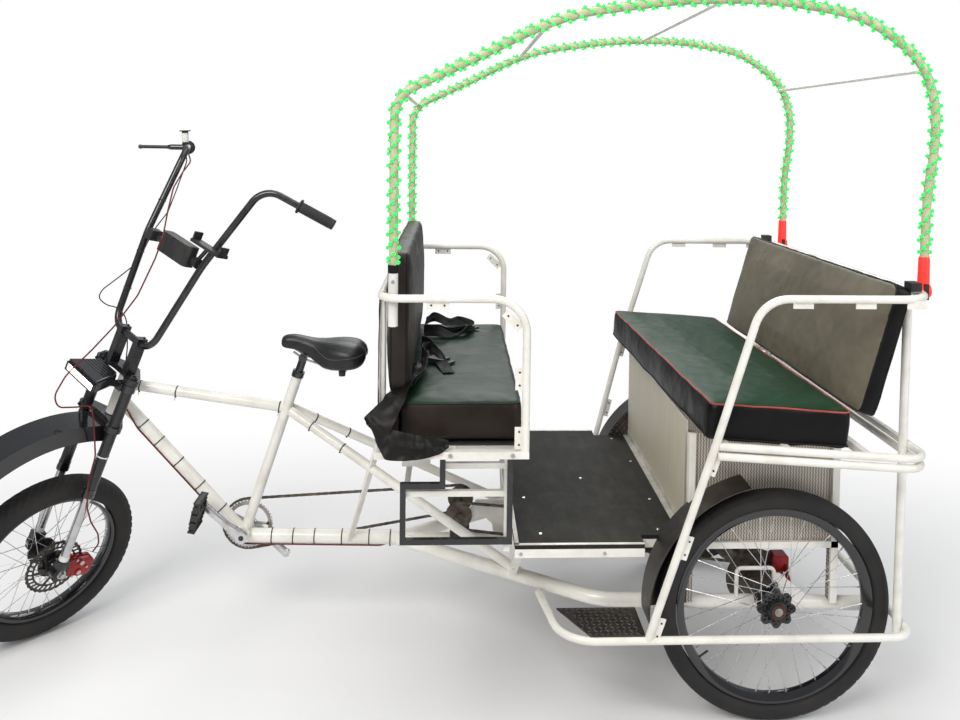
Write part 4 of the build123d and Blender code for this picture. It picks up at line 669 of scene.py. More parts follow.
def rear_wheel(side, word):
    body = f"rear_wheel_{word}"
    m = frame_to((0, side, 0), (REAR_AXLE_X, side * WHEEL_Y, REAR_AXLE_Z))
    out = m.to_3x3() @ UP
    rim_piece(f"rim_rear_{word}", body, m, 0.2866, 0.0186, 0.0262)
    spoke_set(f"rear_{word}", body, m, (0.036, 0.046), 0.026, 0.2625)
    bm = bmesh.new()
    ring_of(bm, [(-0.041, 0.010), (-0.041, 0.018), (-0.034, 0.024), (-0.020, 0.019), (0.018, 0.021), (0.034, 0.032),
                 (0.046, 0.026), (0.046, 0.010)], m, 48)
    lobed_disc(bm, m, -0.030, -0.026, 0.015, 0.041, 9, 0.003)
    lobed_disc(bm, m, 0.022, 0.031, 0.015, 0.056, 8, 0.012)
    for a in turns(8):
        bolt_head(bm, local_point(m, 0.047, a, 0.031), out, 0.0048, 0.004)
    for a in turns(16, 0.5):
        add_cylinder(bm, local_point(m, 0.0365, a, 0.031), local_point(m, 0.0365, a, 0.037), 0.0032, segments=8)
    piece(f"hub_rear_{word}", bm, black_paint, body)
    bm = bmesh.new()
    ring_of(bm, [(0.044, 0.012), (0.044, 0.0215), (0.051, 0.0205), (0.051, 0.014), (0.047, 0.012)], m, 40)
    piece(f"cap_rear_{word}", bm, brown_metal, body)
    bm = bmesh.new()
    add_cylinder(bm, m @ (UP * 0.040), m @ (UP * 0.0505), 0.012, segments=24)
    bolt_head(bm, m @ (UP * 0.0505), out, 0.0075, 0.0025)
    piece(f"axle_end_{word}", bm, steel, body)
    bm = bmesh.new()
    valve = 2.2
    add_cylinder(bm, local_point(m, 0.262, valve, 0), local_point(m, 0.232, valve, 0), 0.0032, segments=10)
    piece(f"valve_{word}", bm, rubber, body)


def front_wheel():
    m = frame_to(FRONT_AXIS, FRONT_AXLE)
    out = m.to_3x3() @ UP
    rim_piece("rim_front", "front_wheel", m, 0.2176, 0.025, 0.0146)
    spoke_set("front", "front_wheel", m, (0.040, 0.040), 0.038, 0.2045)
    bm = bmesh.new()
    ring_of(bm, [(-0.060, 0.009), (-0.060, 0.014), (-0.044, 0.022), (-0.041, 0.045), (-0.035, 0.045), (-0.032, 0.024),
                 (0.032, 0.024), (0.035, 0.045), (0.041, 0.045), (0.044, 0.020), (0.060, 0.013), (0.060, 0.009)], m, 56)
    for a in turns(6):
        bolt_head(bm, local_point(m, 0.022, a, -0.056), -out, 0.0042, 0.003)
    for a in turns(9):
        add_cylinder(bm, local_point(m, 0.037, a, 0.041), local_point(m, 0.037, a, 0.0445), 0.005, segments=10)
    piece("hub_front", bm, black_paint, "front_wheel")
    bm = bmesh.new()
    for inner, outer, lobes, depth, around in ((0.082, 0.092, 30, 0.0028, 240), (0.064, 0.070, 30, 0.0, 120),
                                               (0.013, 0.034, 6, 0.007, 96)):
        lobed_disc(bm, m, -0.0560, -0.0540, inner, outer, lobes, depth, around)
    for a in turns(30):
        add_cylinder(bm, local_point(m, 0.068, a, -0.055), local_point(m, 0.084, a + 0.09, -0.055), 0.0028, segments=6)
    for a in turns(6):
        start, end = local_point(m, 0.029, a, -0.055), local_point(m, 0.067, a + 0.45, -0.055)
        run = (end - start).normalized()
        add_box(bm, (start + end) / 2, ((end - start).length, 0.009, 0.002), turn_of(run, out.cross(run), out))
    piece("rotor_front", bm, dark_metal, "front_wheel")


for side, word in SIDES:
    rear_wheel(side, word)
front_wheel()


# Chains of separate links
def chain_links(name, loop):
    """Two plates and a roller for each pitch along a closed loop in the XZ plane."""
    bm = bmesh.new()
    wide, link = 0.0084, 0.0127
    spans = [(a, b, (b - a).length) for a, b in zip(loop, loop[1:] + loop[:1])]
    total = sum(span for _, _, span in spans)
    count = int(total / link / 2) * 2
    pitch = total / count

    def at(distance):
        distance %= total
        for a, b, span in spans:
            if distance <= span:
                return a.lerp(b, distance / span)
            distance -= span
        return loop[0]

    for k in range(count):
        a, b = at(k * pitch), at((k + 1) * pitch)
        run = (b - a).normalized()
        turn = turn_of(run, ACROSS, run.cross(ACROSS))
        half = wide * (0.42 if k % 2 else 0.28)
        for side in (-1, 1):
            add_box(bm, (a + b) / 2 + ACROSS * side * half, (pitch * 1.3, 0.0009, 0.0072), turn)
        add_cylinder(bm, a - ACROSS * wide * 0.45, a + ACROSS * wide * 0.45, 0.0026, segments=6)
    return piece(name, bm, dirty_steel, smooth=False)


def chain_route(x0, z0, r0, x1, z1, r1, y):
    """A loop round two sprockets, each with its place and radius."""
    run = Vector((x1 - x0, 0, z1 - z0))
    lean = math.atan2(run.z, run.x)
    slope = math.asin((r0 - r1) / run.length)
    top, low = lean + math.pi / 2 - slope, lean - math.pi / 2 + slope
    big = [top + (2 * math.pi - (top - low)) * k / 24 for k in range(25)]
    small = [low + (top - low) * k / 16 for k in range(17)]
    return ([Vector((x0 + r0 * math.cos(a), y, z0 + r0 * math.sin(a))) for a in big]
            + [Vector((x1 + r1 * math.cos(a), y, z1 + r1 * math.sin(a))) for a in small])


CRANK_AXLE = Vector((-0.566, 0, 0.356))
SHAFT_X, SHAFT_Z, SHAFT_SPROCKET = 0.150, 0.440, 0.0441
front_chain = chain_links("chain_front", chain_route(CRANK_AXLE.x, CRANK_AXLE.z, 0.0858,
                                                     SHAFT_X, SHAFT_Z, SHAFT_SPROCKET, 0.048))
chain_links("chain_rear", chain_route(SHAFT_X, SHAFT_Z, SHAFT_SPROCKET, REAR_AXLE_X, REAR_AXLE_Z, 0.0601, -0.100))
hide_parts("chains")


# Lamp
def lamp_box(bm, x0, x1, y0, y1, z0, z1):
    """A box in the steering frame, in millimetres."""
    add_box(bm, steered((x0 + x1) / 2, (y0 + y1) / 2, (z0 + z1) / 2),
            ((x1 - x0) * MM, (y1 - y0) * MM, (z1 - z0) * MM), turn_of(axis_back, axis_right, axis_up))


bm = bmesh.new()
lamp_box(bm, -163.5, -159.0, -82, 82, 70, 90)
piece("lamp_lens", bm, lamp_glow, "steering", smooth=False)
bm = bmesh.new()
for edges in ((-90, 90, 90, 94), (-90, 90, 66, 70), (-90, -82, 66, 94), (82, 90, 66, 94)):
    lamp_box(bm, -167, -150, *edges)
for k in range(6):
    lamp_box(bm, -128 + k * 9, -125 + k * 9, -66 + k * 2.5, 66 - k * 2.5, 105 + k * 2.0, 112 + k * 2.0)
piece("lamp_bezel", bm, black_gloss, "steering", smooth=False)

# Fork: legs' collars and lower ends, bolts and the axle's nuts
LEG_X, LEG_Y, AXLE_Z = -43, 89, -556.0


def leg_rod(bm, side, z0, z1, radius, radius2=None, segments=36):
    """A cylinder or cone along a fork leg."""
    add_cylinder(bm, steered(LEG_X, side * LEG_Y, z0), steered(LEG_X, side * LEG_Y, z1), radius, radius2, segments)


def axle_rod(bm, side, y0, y1, radius, radius2=None, segments=24):
    """A cylinder or cone along the front axle."""
    add_cylinder(bm, steered(LEG_X, side * y0, AXLE_Z), steered(LEG_X, side * y1, AXLE_Z), radius, radius2, segments)


bolts, bands, ends, nuts = bmesh.new(), bmesh.new(), bmesh.new(), bmesh.new()
for side in (-1, 1):
    for z0, z1, radius, segments in ((-291, -279, 0.0205, 40), (-279, -262, 0.0195, 40), (118, 128, 0.0150, 32),
                                     (128, 133, 0.0090, 20)):
        leg_rod(bolts, side, z0, z1, radius, segments=segments)
    for z in (-55, 110):
        bolt_head(bolts, steered(LEG_X - 27, side * LEG_Y, z), -axis_back, 0.0045, 0.005)
    for x, z in ((-48, 236), (-48, 214), (-26, 242)):
        bolt_head(bolts, steered(x, side * 52, z), axis_up, 0.0035, 0.004)
    leg_rod(bands, side, AXLE_Z + 42, AXLE_Z + 58, 0.0156)
    for z0, z1, r0, r1 in ((42, 20, 0.0158, 0.0190), (20, -8, 0.0190, 0.0205), (-8, -24, 0.0205, 0.0120)):
        leg_rod(ends, side, AXLE_Z + z0, AXLE_Z + z1, r0, r1, 32)
    axle_rod(ends, side, 80, 104, 0.0265, 0.0235, 36)
    for z in (-8, 26):
        bolt_head(ends, steered(-32, side * 101, AXLE_Z + z), axis_right * side, 0.005, 0.004)
    axle_rod(nuts, side, 104, 118, 0.010, segments=6)
    axle_rod(nuts, side, 104, 108, 0.014)
for x, y in ((-20, 0), (4, 26), (4, -26)):
    bolt_head(bolts, steered(x, y, 119), axis_up, 0.006, 0.005)
piece("fork_bolts", bolts, black_gloss, "steering")
piece("fork_bands", bands, white_plastic, "steering")
piece("fork_ends", ends, black_gloss, "steering")
piece("front_axle_nuts", nuts, steel, "steering")

# Front caliper, inside the box of its solid
corners = [v.co - HEAD_POINT for v in nodes["front_caliper"].data.vertices]
caliper_low, caliper_high = ([end(p.dot(axis) for p in corners) / MM for axis in (axis_back, axis_right, axis_up)]
                             for end in (min, max))
caliper_x, _, caliper_z = ((a + b) / 2 for a, b in zip(caliper_low, caliper_high))
near_y, far_y = caliper_low[1], caliper_high[1]


def caliper_block(bm, y0, y1):
    """A rounded two-lobed block between two distances across the wheel."""
    reach_x, reach_z = caliper_high[0] - caliper_x, caliper_high[2] - caliper_z
    rings = []
    for y, scale in ((y0, 0.86), (y0 + (y1 - y0) * 0.12, 1.0), (y1 - (y1 - y0) * 0.12, 1.0), (y1, 0.86)):
        ring = []
        for a in turns(64):
            waist = 1 - 0.16 * math.sin(a) ** 8 - 0.10 * math.cos(a) ** 10
            r = scale * waist / (abs(math.cos(a)) ** 3 + abs(math.sin(a)) ** 3) ** (1 / 3)
            ring.append(bm.verts.new(steered(caliper_x + r * reach_x * 0.80 * math.cos(a), y,
                                             caliper_z + r * reach_z * 0.84 * math.sin(a))))
        rings.append(ring)
    skin(bm, rings)


block, bolts = bmesh.new(), bmesh.new()
caliper_block(block, near_y + 4, near_y + 22)
caliper_block(block, far_y - 18, far_y - 3)
for z in (caliper_z - 17, caliper_z + 17):
    for out, x, y0, y1, radius, segments in ((block, 0, near_y + 1, near_y + 6, 0.0125, 32),
                                             (block, 18, near_y + 18, far_y - 14, 0.0095, 20),
                                             (bolts, 0, near_y + 1.2, near_y - 0.4, 0.0075, 24)):
        add_cylinder(out, steered(caliper_x + x, y0, z), steered(caliper_x + x, y1, z), radius, segments=segments)
for x, z in ((-20, 28), (-20, -28), (22, 0)):
    bolt_head(bolts, steered(caliper_x + x, near_y + 4, caliper_z + z), -axis_right, 0.0045, 0.004)
for part in (piece("caliper_body", block, red_metal, "steering"),
             piece("caliper_bolts", bolts, steel, "steering")):
    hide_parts("front_caliper")


# Ties round the tubes
def tie(bm, centre, axis, radius, wide=0.0035, tail=0.0, tail_to=(0, -0.4, -1)):
    """A plastic tie round a tube, with its head and perhaps a short tail."""
    low, high = radius - 0.0004, radius + 0.0012
    ring_of(bm, [(-wide / 2, low), (-wide / 2, high), (wide / 2, high), (wide / 2, low)], frame_to(axis, centre), 28)
    axis, out = Vector(axis).normalized(), Vector(tail_to)
    out = (out - axis * out.dot(axis)).normalized()
    spot = Vector(centre) + out * high
    add_box(bm, spot, (0.005, 0.005, 0.004))
    if tail:
        add_cylinder(bm, spot, spot + out * tail, 0.0009, segments=5)


def tie_along(bm, start, end, fractions, radius, **tail):
    start, end = Vector(start), Vector(end)
    for fraction in fractions:
        tie(bm, start.lerp(end, fraction), end - start, radius, **tail)


tube_start = HEAD_POINT + straight_back * 0.018
bm = bmesh.new()
tie_along(bm, tube_start + axis_up * 0.064, (-0.433, 0, 0.770), (0.07, 0.30, 0.96), 0.0173, tail=0.012)
tie_along(bm, tube_start + axis_up * 0.002, (-0.576, 0, 0.350), (0.17, 0.30, 0.46, 0.64, 0.82), 0.0213,
          tail_to=(-1, -1, -0.6))
tie_along(bm, (-0.558, 0, 0.336), (-0.052, 0, 0.325), (0.16, 0.30, 0.44, 0.62, 0.80, 0.94), 0.0243)
for side in (-1, 1):
    tie_along(bm, (-0.416, side * 0.018, 0.764), (0.340, side * 0.266, 0.328), (0.10, 0.24), 0.0153)
piece("frame_ties", bm, black_plastic)
bm = bmesh.new()
tie(bm, steered(LEG_X, -LEG_Y, -150), axis_up, 0.0185, 0.004, tail_to=-axis_right)
piece("leg_tie", bm, white_plastic, "steering")
bm = bmesh.new()
for spot in ((-12, 156, 470), (-24, 134, 345), (20, 189, 650)):
    tie(bm, steered(*spot), steered(-5, 168, 541) - steered(-37, 112, 224), 0.0118, tail=0.01)
piece("bar_ties", bm, black_plastic, "steering")

# Ribs of the grips, the reservoir and the lever
for side, word in SIDES:
    end = steered(212, side * 424, 814)
    m = frame_to(steered(66, side * 226, 846) - end, end)
    bm = bmesh.new()
    for k in range(18):
        z = 0.008 + k * 0.0058
        ring_of(bm, [(z, 0.0168), (z + 0.0012, 0.0181), (z + 0.0032, 0.0181), (z + 0.0044, 0.0168)], m, 28)
    piece(f"grip_ribs_{word}", bm, rubber, "steering")
bm = bmesh.new()
add_cylinder(bm, steered(97.5, 293.5, 851), steered(89.5, 302.5, 881), 0.0116, segments=28)
piece("reservoir_body", bm, white_plastic, "steering")
lever_root, lever_tip = steered(112, 288, 836), steered(6, 400, 779)
bm = bmesh.new()
for start, end, r0, r1 in ((0.02, 0.10, 0.0125, 0.0125), (0.10, 0.36, 0.0098, 0.0098), (0.36, 0.44, 0.0098, 0.0066)):
    add_cylinder(bm, lever_root.lerp(lever_tip, start), lever_root.lerp(lever_tip, end), r0, r1, 24)
add_ball(bm, lever_tip, 0.0080, 3)
piece("lever_barrel", bm, black_gloss, "steering")


# Tabs with holes along the arm rails and the slanted posts, bolts along the frame
def tab(bm, centre, along, down, long, deep):
    a, d = Vector(along).normalized(), Vector(down).normalized()
    add_box(bm, centre, (long, deep, 0.003), turn_of(a, d, a.cross(d)))


def hole_pair(bm, centre, along, apart):
    """The dark holes of a tab, one to each side of its middle."""
    for shift in (-apart, apart):
        spot = Vector(centre) + Vector(along).normalized() * shift
        add_cylinder(bm, spot - ACROSS * 0.0022, spot + ACROSS * 0.0022, 0.003, segments=12)


bm, holes = bmesh.new(), bmesh.new()
for side in (-1, 1):
    for x, z, along, down in ((0.079, 1.225, (1, 0, 0), (0, 0, -1)), (0.283, 1.184, (1, 0, -1), (-1, 0, -1)),
                              (0.304, 1.024, (0, 0, 1), (-1, 0, 0)), (0.304, 0.860, (0, 0, 1), (-1, 0, 0))):
        spot = (x, side * 0.5776, z)
        tab(bm, spot, along, down, 0.062, 0.024)
        hole_pair(holes, spot, along, 0.018)
    for fraction in (0.06, 0.50, 0.94):
        spot = Vector((0.672, side * 0.600, 0.300)).lerp(Vector((0.818, side * 0.665, 0.850)), fraction)
        slant = (0.152, side * 0.065, 0.55)
        tab(bm, spot + Vector((0.014, 0, 0)), slant, (1, 0, -0.27), 0.07, 0.022)
        hole_pair(holes, spot + Vector((0.016, 0, 0)), slant, 0.02)
    for x in (1.05, 1.22, 1.36):
        tab(bm, (x, side * 0.665, 1.2475), (1, 0, 0), (0, 0, -1), 0.055, 0.022)
piece("rail_tabs", bm, white_paint, smooth=False)
piece("tab_holes", holes, black_plastic)

FRAME_BOLTS = (  # across, radius, height, then the places in (x, z)
    (0.5878, 0.006, 0.004, ((0.117, 0.815), (0.287, 0.815))),
    (0.5575, 0.005, 0.004, ((HOOP_FRONT_X, 1.235), (HOOP_FRONT_X, 1.285))),
    (0.5003, 0.005, 0.003, ((0.32, 0.500), (0.56, 0.500), (0.79, 0.500))),
    (0.4443, 0.004, 0.003, ((0.82, 0.80), (1.24, 0.80), (0.82, 0.51), (1.24, 0.51))))
bm = bmesh.new()
for side in (-1, 1):
    for y, radius, height, places in FRAME_BOLTS:
        for x, z in places:
            bolt_head(bm, (x, side * y, z), (0, side, 0), radius, height)
piece("frame_bolts", bm, steel)

# Floor screws, edge trim and the box's white edges
floor_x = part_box("platform_floor")[0].x
bm = bmesh.new()
for x, y in ((0.738, 0.40), (0.763, 0.157), (0.354, -0.163), (0.759, -0.178), (0.383, -0.425), (0.354, 0.2),
             (0.383, 0.43), (0.56, 0.0), (0.735, -0.40)):
    add_cylinder(bm, (x, y, 0.5248), (x, y, 0.5264), 0.0055, 0.0045)
piece("floor_screws", bm, silver_metal)
trims = [((FRONT_X - 0.0095, 0, 0.5258), (0.019, 0.878, 0.0016)),
         ((FRONT_X - 0.0008, 0, 0.5345), (0.0016, 0.878, 0.019)),
         ((FRONT_X - 0.0008, -0.431, 0.694), (0.0016, 0.018, 0.308)),
         ((FRONT_X - 0.0016, 0, 0.8615), (0.0016, 0.880, 0.007)),
         ((floor_x + 0.006, 0, 0.5257), (0.012, 0.996, 0.0014))]
trims += [(((floor_x + 0.676) / 2, side * 0.4945, 0.5257), (0.676 - floor_x, 0.011, 0.0014)) for side in (-1, 1)]
box_piece("edge_trim", trims, trim_metal)
box_piece("front_panel_top", [((FRONT_X - 0.0002, -0.33 + k * 0.22, 0.8475), (0.0012, 0.2196, 0.0355))
                              for k in range(4)], panel_grain)
bm = bmesh.new()
for k in range(23):
    y = -0.42 + k * 0.038
    add_ball(bm, (FRONT_X - 0.0018, y, 0.5345), 0.0022)
    add_ball(bm, (FRONT_X - 0.010, y + 0.012, 0.5267), 0.0022)
piece("trim_rivets", bm, steel)
box_piece("box_edges", [((x, side * 0.4455, z), (long, 0.011, high)) for side in (-1, 1) for x, z, long, high in
                        ((1.2495, 0.60, 0.021, 0.56), (1.035, 0.4965, 0.45, 0.019), (0.8205, 0.665, 0.019, 0.33))],
          white_paint)

# Raised lugs on the steps and on the inner sides of the rear fenders
LUG_PITCH = 0.0165


def lug(bm, centre, along, normal):
    """A pointed lug, 15 mm long and 4.2 mm wide, with a narrower top."""
    a, n = Vector(along).normalized(), Vector(normal).normalized()
    c, centre = n.cross(a), Vector(centre)
    foot = [centre + a * 0.0075 * u + c * 0.0021 * v
            for u, v in ((-1, 0), (-0.6, 1), (0.6, 1), (1, 0), (0.6, -1), (-0.6, -1))]
    low = [bm.verts.new(p) for p in foot]
    high = [bm.verts.new(centre + n * 0.0011 + (p - centre) * 0.55) for p in foot]
    for k in range(6):
        bm.faces.new((low[k], low[(k + 1) % 6], high[(k + 1) % 6], high[k]))
    bm.faces.new(high)


bm = bmesh.new()
step_low, step_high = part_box("steps")
for side in (-1, 1):
    row, x = 0, step_low.x + 0.012
    while x < step_high.x - 0.008:
        column, y = 0, 0.460
        while y < 0.592:
            if (y - 0.452) < (x - step_low.x) * 1.85:
                lug(bm, (x, side * y, step_high.z), (1, 1, 0) if (row + column) % 2 else (1, -1, 0), UP)
            column, y = column + 1, y + LUG_PITCH
        row, x = row + 1, x + LUG_PITCH
    start, sweep = math.radians(105), math.radians(78)
    for row in range(8):
        r = 0.254 + row * LUG_PITCH
        count = int(r * sweep / LUG_PITCH)
        for k in range(count):
            a = start + sweep * (k + 0.5 * (row % 2)) / count
            spot = (REAR_AXLE_X + r * math.cos(a), side * 0.440, REAR_AXLE_Z + r * math.sin(a))
            lug(bm, spot, (1, 0, 1) if (row + k) % 2 else (1, 0, -1), (0, -side, 0))
piece("tread_lugs", bm, worn_steel, smooth=False)

# Red sleeves over the rear lamps, and their dark brackets
bm = bmesh.new()
for side in (-1, 1):
    ring_of(bm, [(-0.044, 0.0), (-0.044, 0.0165), (0.036, 0.0150), (0.044, 0.0136), (0.044, 0.0)],
            frame_to(UP, (HOOP_REAR_X, side * HOOP_Y, 1.318)), 32)
piece("red_sleeves", bm, red_lens)
LAMP_BRACKETS = ((1.4365, 0.545, 1.266, (0.011, 0.052, 0.044)), (1.388, 0.585, 1.285, (0.030, 0.040, 0.024)))
box_piece("lamp_brackets", [((x, side * y, z), size) for side in (-1, 1) for x, y, z, size in LAMP_BRACKETS],
          black_plastic)


# Piping and seams of the cushions
def surface_of(obj):
    return BVHTree.FromPolygons([v.co.copy() for v in obj.data.vertices],
                                [list(p.vertices) for p in obj.data.polygons])


def seam(bm, pad, low, high, radius, place, out, thick, segments=6):
    """A cord along a rounded rectangle, moved onto a simulated pad; place turns (u, v) into a point."""
    corners, points = [], []
    for cu, cv, start in ((high[0] - radius, high[1] - radius, 0), (low[0] + radius, high[1] - radius, 90),
                          (low[0] + radius, low[1] + radius, 180), (high[0] - radius, low[1] + radius, 270)):
        for k in range(7):
            a = math.radians(start + 15 * k)
            corners.append(place(cu + radius * math.cos(a), cv + radius * math.sin(a)))
    for a, b in zip(corners, corners[1:] + corners[:1]):
        count = max(1, int((b - a).length / 0.03))
        for k in range(count):
            spot, normal, _, _ = pad_surface[pad].find_nearest(a.lerp(b, k / count))
            points.append(spot + normal * out)
    add_tube(bm, points, thick, segments, closed=True)


def level(z):
    return lambda u, v: Vector((u, v, z))


def seat_level(z):
    return lambda u, v: settle_seat(on_seat(u, v, z))


pad_surface = {pad.name: surface_of(pad) for pad in cushions}
bm = bmesh.new()
seam(bm, "rear_seat_pad", (0.005, -0.643), (0.395, 0.643), 0.022, seat_level(0.1113), 0.0012, 0.0024, 7)
piece("rear_seat_piping", bm, piping_red)
bm = bmesh.new()
seam(bm, "rear_seat_pad", (0.004, -0.644), (0.396, 0.644), 0.022, seat_level(0.0293), 0.0005, 0.0022)
seam(bm, "bench_seat_pad", (-0.030, -0.529), (0.316, 0.529), 0.028, level(0.944), 0.0006, 0.0022)
seam(bm, "bench_seat_pad", (-0.032, -0.531), (0.318, 0.531), 0.028, level(0.846), 0.0004, 0.0020)
back_low, back_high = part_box("bench_backrest")
for x in (back_high.x - 0.016, back_low.x + 0.012):
    seam(bm, "bench_back_pad", (-0.492, back_low.z + 0.008), (0.492, back_high.z - 0.008), 0.034,
         lambda u, v: Vector((x, u, v)), 0.0004, 0.0020)
piece("cushion_seams", bm, vinyl_black)
back_out, back_up = leaned(15.5)
BACK_FOOT = Vector((1.2303, 0, 0.928))
bm = bmesh.new()
for depth in (0.006, 0.048):
    seam(bm, "rear_back_pad", (-0.607, 0.008), (0.607, 0.377), 0.028,
         lambda u, v: BACK_FOOT + ACROSS * u + back_up * v + back_out * depth, 0.0006, 0.0023)
piece("rear_back_piping", bm, vinyl_black)

# Saddle: a thick blunt nose, a deep skirt and two low lobes; each station is (x, top, underside, half width)
SADDLE = [(-0.447, 0.998, 0.983, 0.008), (-0.442, 1.009, 0.977, 0.019), (-0.428, 1.015, 0.972, 0.026),
          (-0.398, 1.016, 0.967, 0.030), (-0.365, 1.009, 0.953, 0.035), (-0.335, 1.003, 0.931, 0.046),
          (-0.305, 1.001, 0.911, 0.064), (-0.275, 1.001, 0.906, 0.083), (-0.245, 1.001, 0.907, 0.095),
          (-0.215, 0.998, 0.910, 0.100), (-0.192, 0.991, 0.915, 0.095), (-0.175, 0.978, 0.926, 0.080),
          (-0.166, 0.962, 0.942, 0.050)]
bm = bmesh.new()
rings = []
for x, top, low, w in smooth_route(SADDLE, 5):
    middle, ring = low + 0.5 * (top - low), []
    for a in turns(44):
        y = w * math.copysign(abs(math.cos(a)) ** 0.72, math.cos(a))
        if math.sin(a) >= 0:
            z = middle + (top - middle) * math.sin(a) ** 0.85
            z -= 0.006 * max(0.0, 1 - (y / 0.022) ** 2) * min(1, max(0, (x + 0.36) / 0.08))
        else:
            z = middle - (middle - low) * abs(math.sin(a)) ** 0.42
            z += 0.016 * max(0.0, 1 - (y / (0.7 * w)) ** 2) * min(1, w / 0.06)
        ring.append(bm.verts.new((x, y, z)))
    rings.append(ring)
skin(bm, rings)
shell = piece("saddle_shell", bm, saddle_cover)
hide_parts("saddle")
saddle_surface = surface_of(shell)
thread_lines, bumpers = bmesh.new(), bmesh.new()
for side in (-1, 1):
    route = smooth_route([(x, side * y, z) for x, y, z in (
        (-0.395, 0.020, 1.014), (-0.354, 0.036, 0.998), (-0.327, 0.052, 0.978), (-0.290, 0.080, 0.953),
        (-0.235, 0.098, 0.955), (-0.190, 0.095, 0.962), (-0.170, 0.060, 0.966))], 10)
    add_tube(thread_lines, [saddle_surface.find_nearest(p)[0] for p in route], 0.0011, 5)
    add_cylinder(bumpers, (-0.240, side * 0.060, 0.915), (-0.240, side * 0.060, 0.893), 0.0125, 0.0105, 24)
piece("saddle_seam", thread_lines, thread)
piece("saddle_bumpers", bumpers, rubber)

# Seat post: the white tube runs higher than its clamp in the solid, then a dark post and the saddle's clamp
seat_run = (Vector((-0.378, 0, 0.930)) - CRANK_AXLE).normalized()


def on_post(distance, y=0.0):
    return CRANK_AXLE + seat_run * distance + ACROSS * y


bm = bmesh.new()
add_cylinder(bm, on_post(0.489), on_post(0.548), 0.0172, segments=40)
post = piece("seat_tube_head", bm, white_paint)
bm, rods = bmesh.new(), bmesh.new()
add_cylinder(bm, on_post(0.546), on_post(0.566), 0.0205, segments=40)
add_cylinder(bm, on_post(0.557, -0.026), on_post(0.557, 0.026), 0.005, segments=12)
add_cylinder(bm, on_post(0.566), on_post(0.618), 0.0135, segments=32)
add_cylinder(bm, on_post(0.618, -0.027), on_post(0.618, 0.027), 0.014, segments=32)
for side in (-1, 1):
    bolt_head(bm, on_post(0.618, side * 0.027), (0, side, 0), 0.008, 0.005)
    rod = [on_post(0.618) + Vector((x, side * y, z)) for x, y, z in (
        (-0.032, 0.018, 0.019), (0.010, 0.022, -0.006), (0.090, 0.024, -0.030), (0.145, 0.023, -0.043))]
    add_tube(rods, smooth_route(rod, 6), 0.0035, 10)
piece("seat_clamp", bm, black_gloss)
rails = piece("saddle_rails", rods, steel)
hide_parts("saddle_post")
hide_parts("saddle_post")


# Cranks and chainring
def add_taper(bm, route, sizes, segments=16):
    """A rounded bar whose height and thickness change along its route."""
    rings = []
    for i, (p, (tall, thick)) in enumerate(zip(route, sizes)):
        ahead = route[min(i + 1, len(route) - 1)] - route[max(i - 1, 0)]
        up = ACROSS.cross(ahead).normalized()
        rings.append([bm.verts.new(p + up * math.cos(a) * tall + ACROSS * math.sin(a) * thick)
                      for a in turns(segments)])
    skin(bm, rings)


def crank_rod(bm, y0, y1, radius, segments, centre=CRANK_AXLE):
    """A cylinder across the vehicle."""
    add_cylinder(bm, centre + ACROSS * y0, centre + ACROSS * y1, radius, segments=segments)


CRANK_TURN, CRANK_LENGTH = math.radians(138), 0.165
crank_tip = Vector((math.cos(CRANK_TURN), 0, math.sin(CRANK_TURN))) * CRANK_LENGTH
arms, ring, dark = bmesh.new(), bmesh.new(), bmesh.new()
for side, tip in ((-1, crank_tip), (1, -crank_tip)):
    foot, end = CRANK_AXLE + ACROSS * side * 0.060, CRANK_AXLE + tip + ACROSS * side * 0.062
    route = [foot.lerp(end, k / 8) + ACROSS * side * 0.003 * math.sin(math.pi * k / 8) for k in range(9)]
    sizes = [(0.0190 - 0.0070 * k / 8 + 0.002 * math.cos(math.pi * k / 4), 0.0072) for k in range(9)]
    add_taper(arms, route, sizes, 20)
    crank_rod(arms, side * 0.053, side * 0.070, 0.0190, 36)
    ring_of(arms, [(-0.007, 0.0062), (-0.007, 0.0138), (0.007, 0.0138), (0.007, 0.0062)], frame_to(ACROSS, end), 32)
    crank_rod(dark, side * 0.0695, side * 0.0712, 0.0085, 24)
    bolt_head(dark, CRANK_AXLE + ACROSS * side * 0.0712, ACROSS * side, 0.0045, 0.001)
m = frame_to(ACROSS, CRANK_AXLE)
lobed_disc(ring, m, 0.0425, 0.0455, 0.0665, 0.0815, 44, 0.0045, 352)
ring_of(ring, [(0.040, 0.0705), (0.040, 0.0735), (0.0425, 0.0735), (0.0425, 0.0705)], m, 96)
for a in turns(5):
    a += 0.3
    start, end = local_point(m, 0.012, a, 0.048), local_point(m, 0.066, a, 0.046)
    add_taper(ring, [start.lerp(end, t / 4) for t in range(5)], [(0.008 - 0.001 * t, 0.0026) for t in range(5)])
    add_cylinder(dark, local_point(m, 0.065, a, 0.041), local_point(m, 0.065, a, 0.0515), 0.0050, segments=12)
crank_rod(dark, -0.056, 0.056, 0.0092, 24)
for part in (piece("crank_arms", arms, silver_metal, "crankset"),
             piece("crank_spindle", dark, dark_metal, "crankset"),
             piece("chainring", ring, steel, "crankset")):
    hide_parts("crankset")

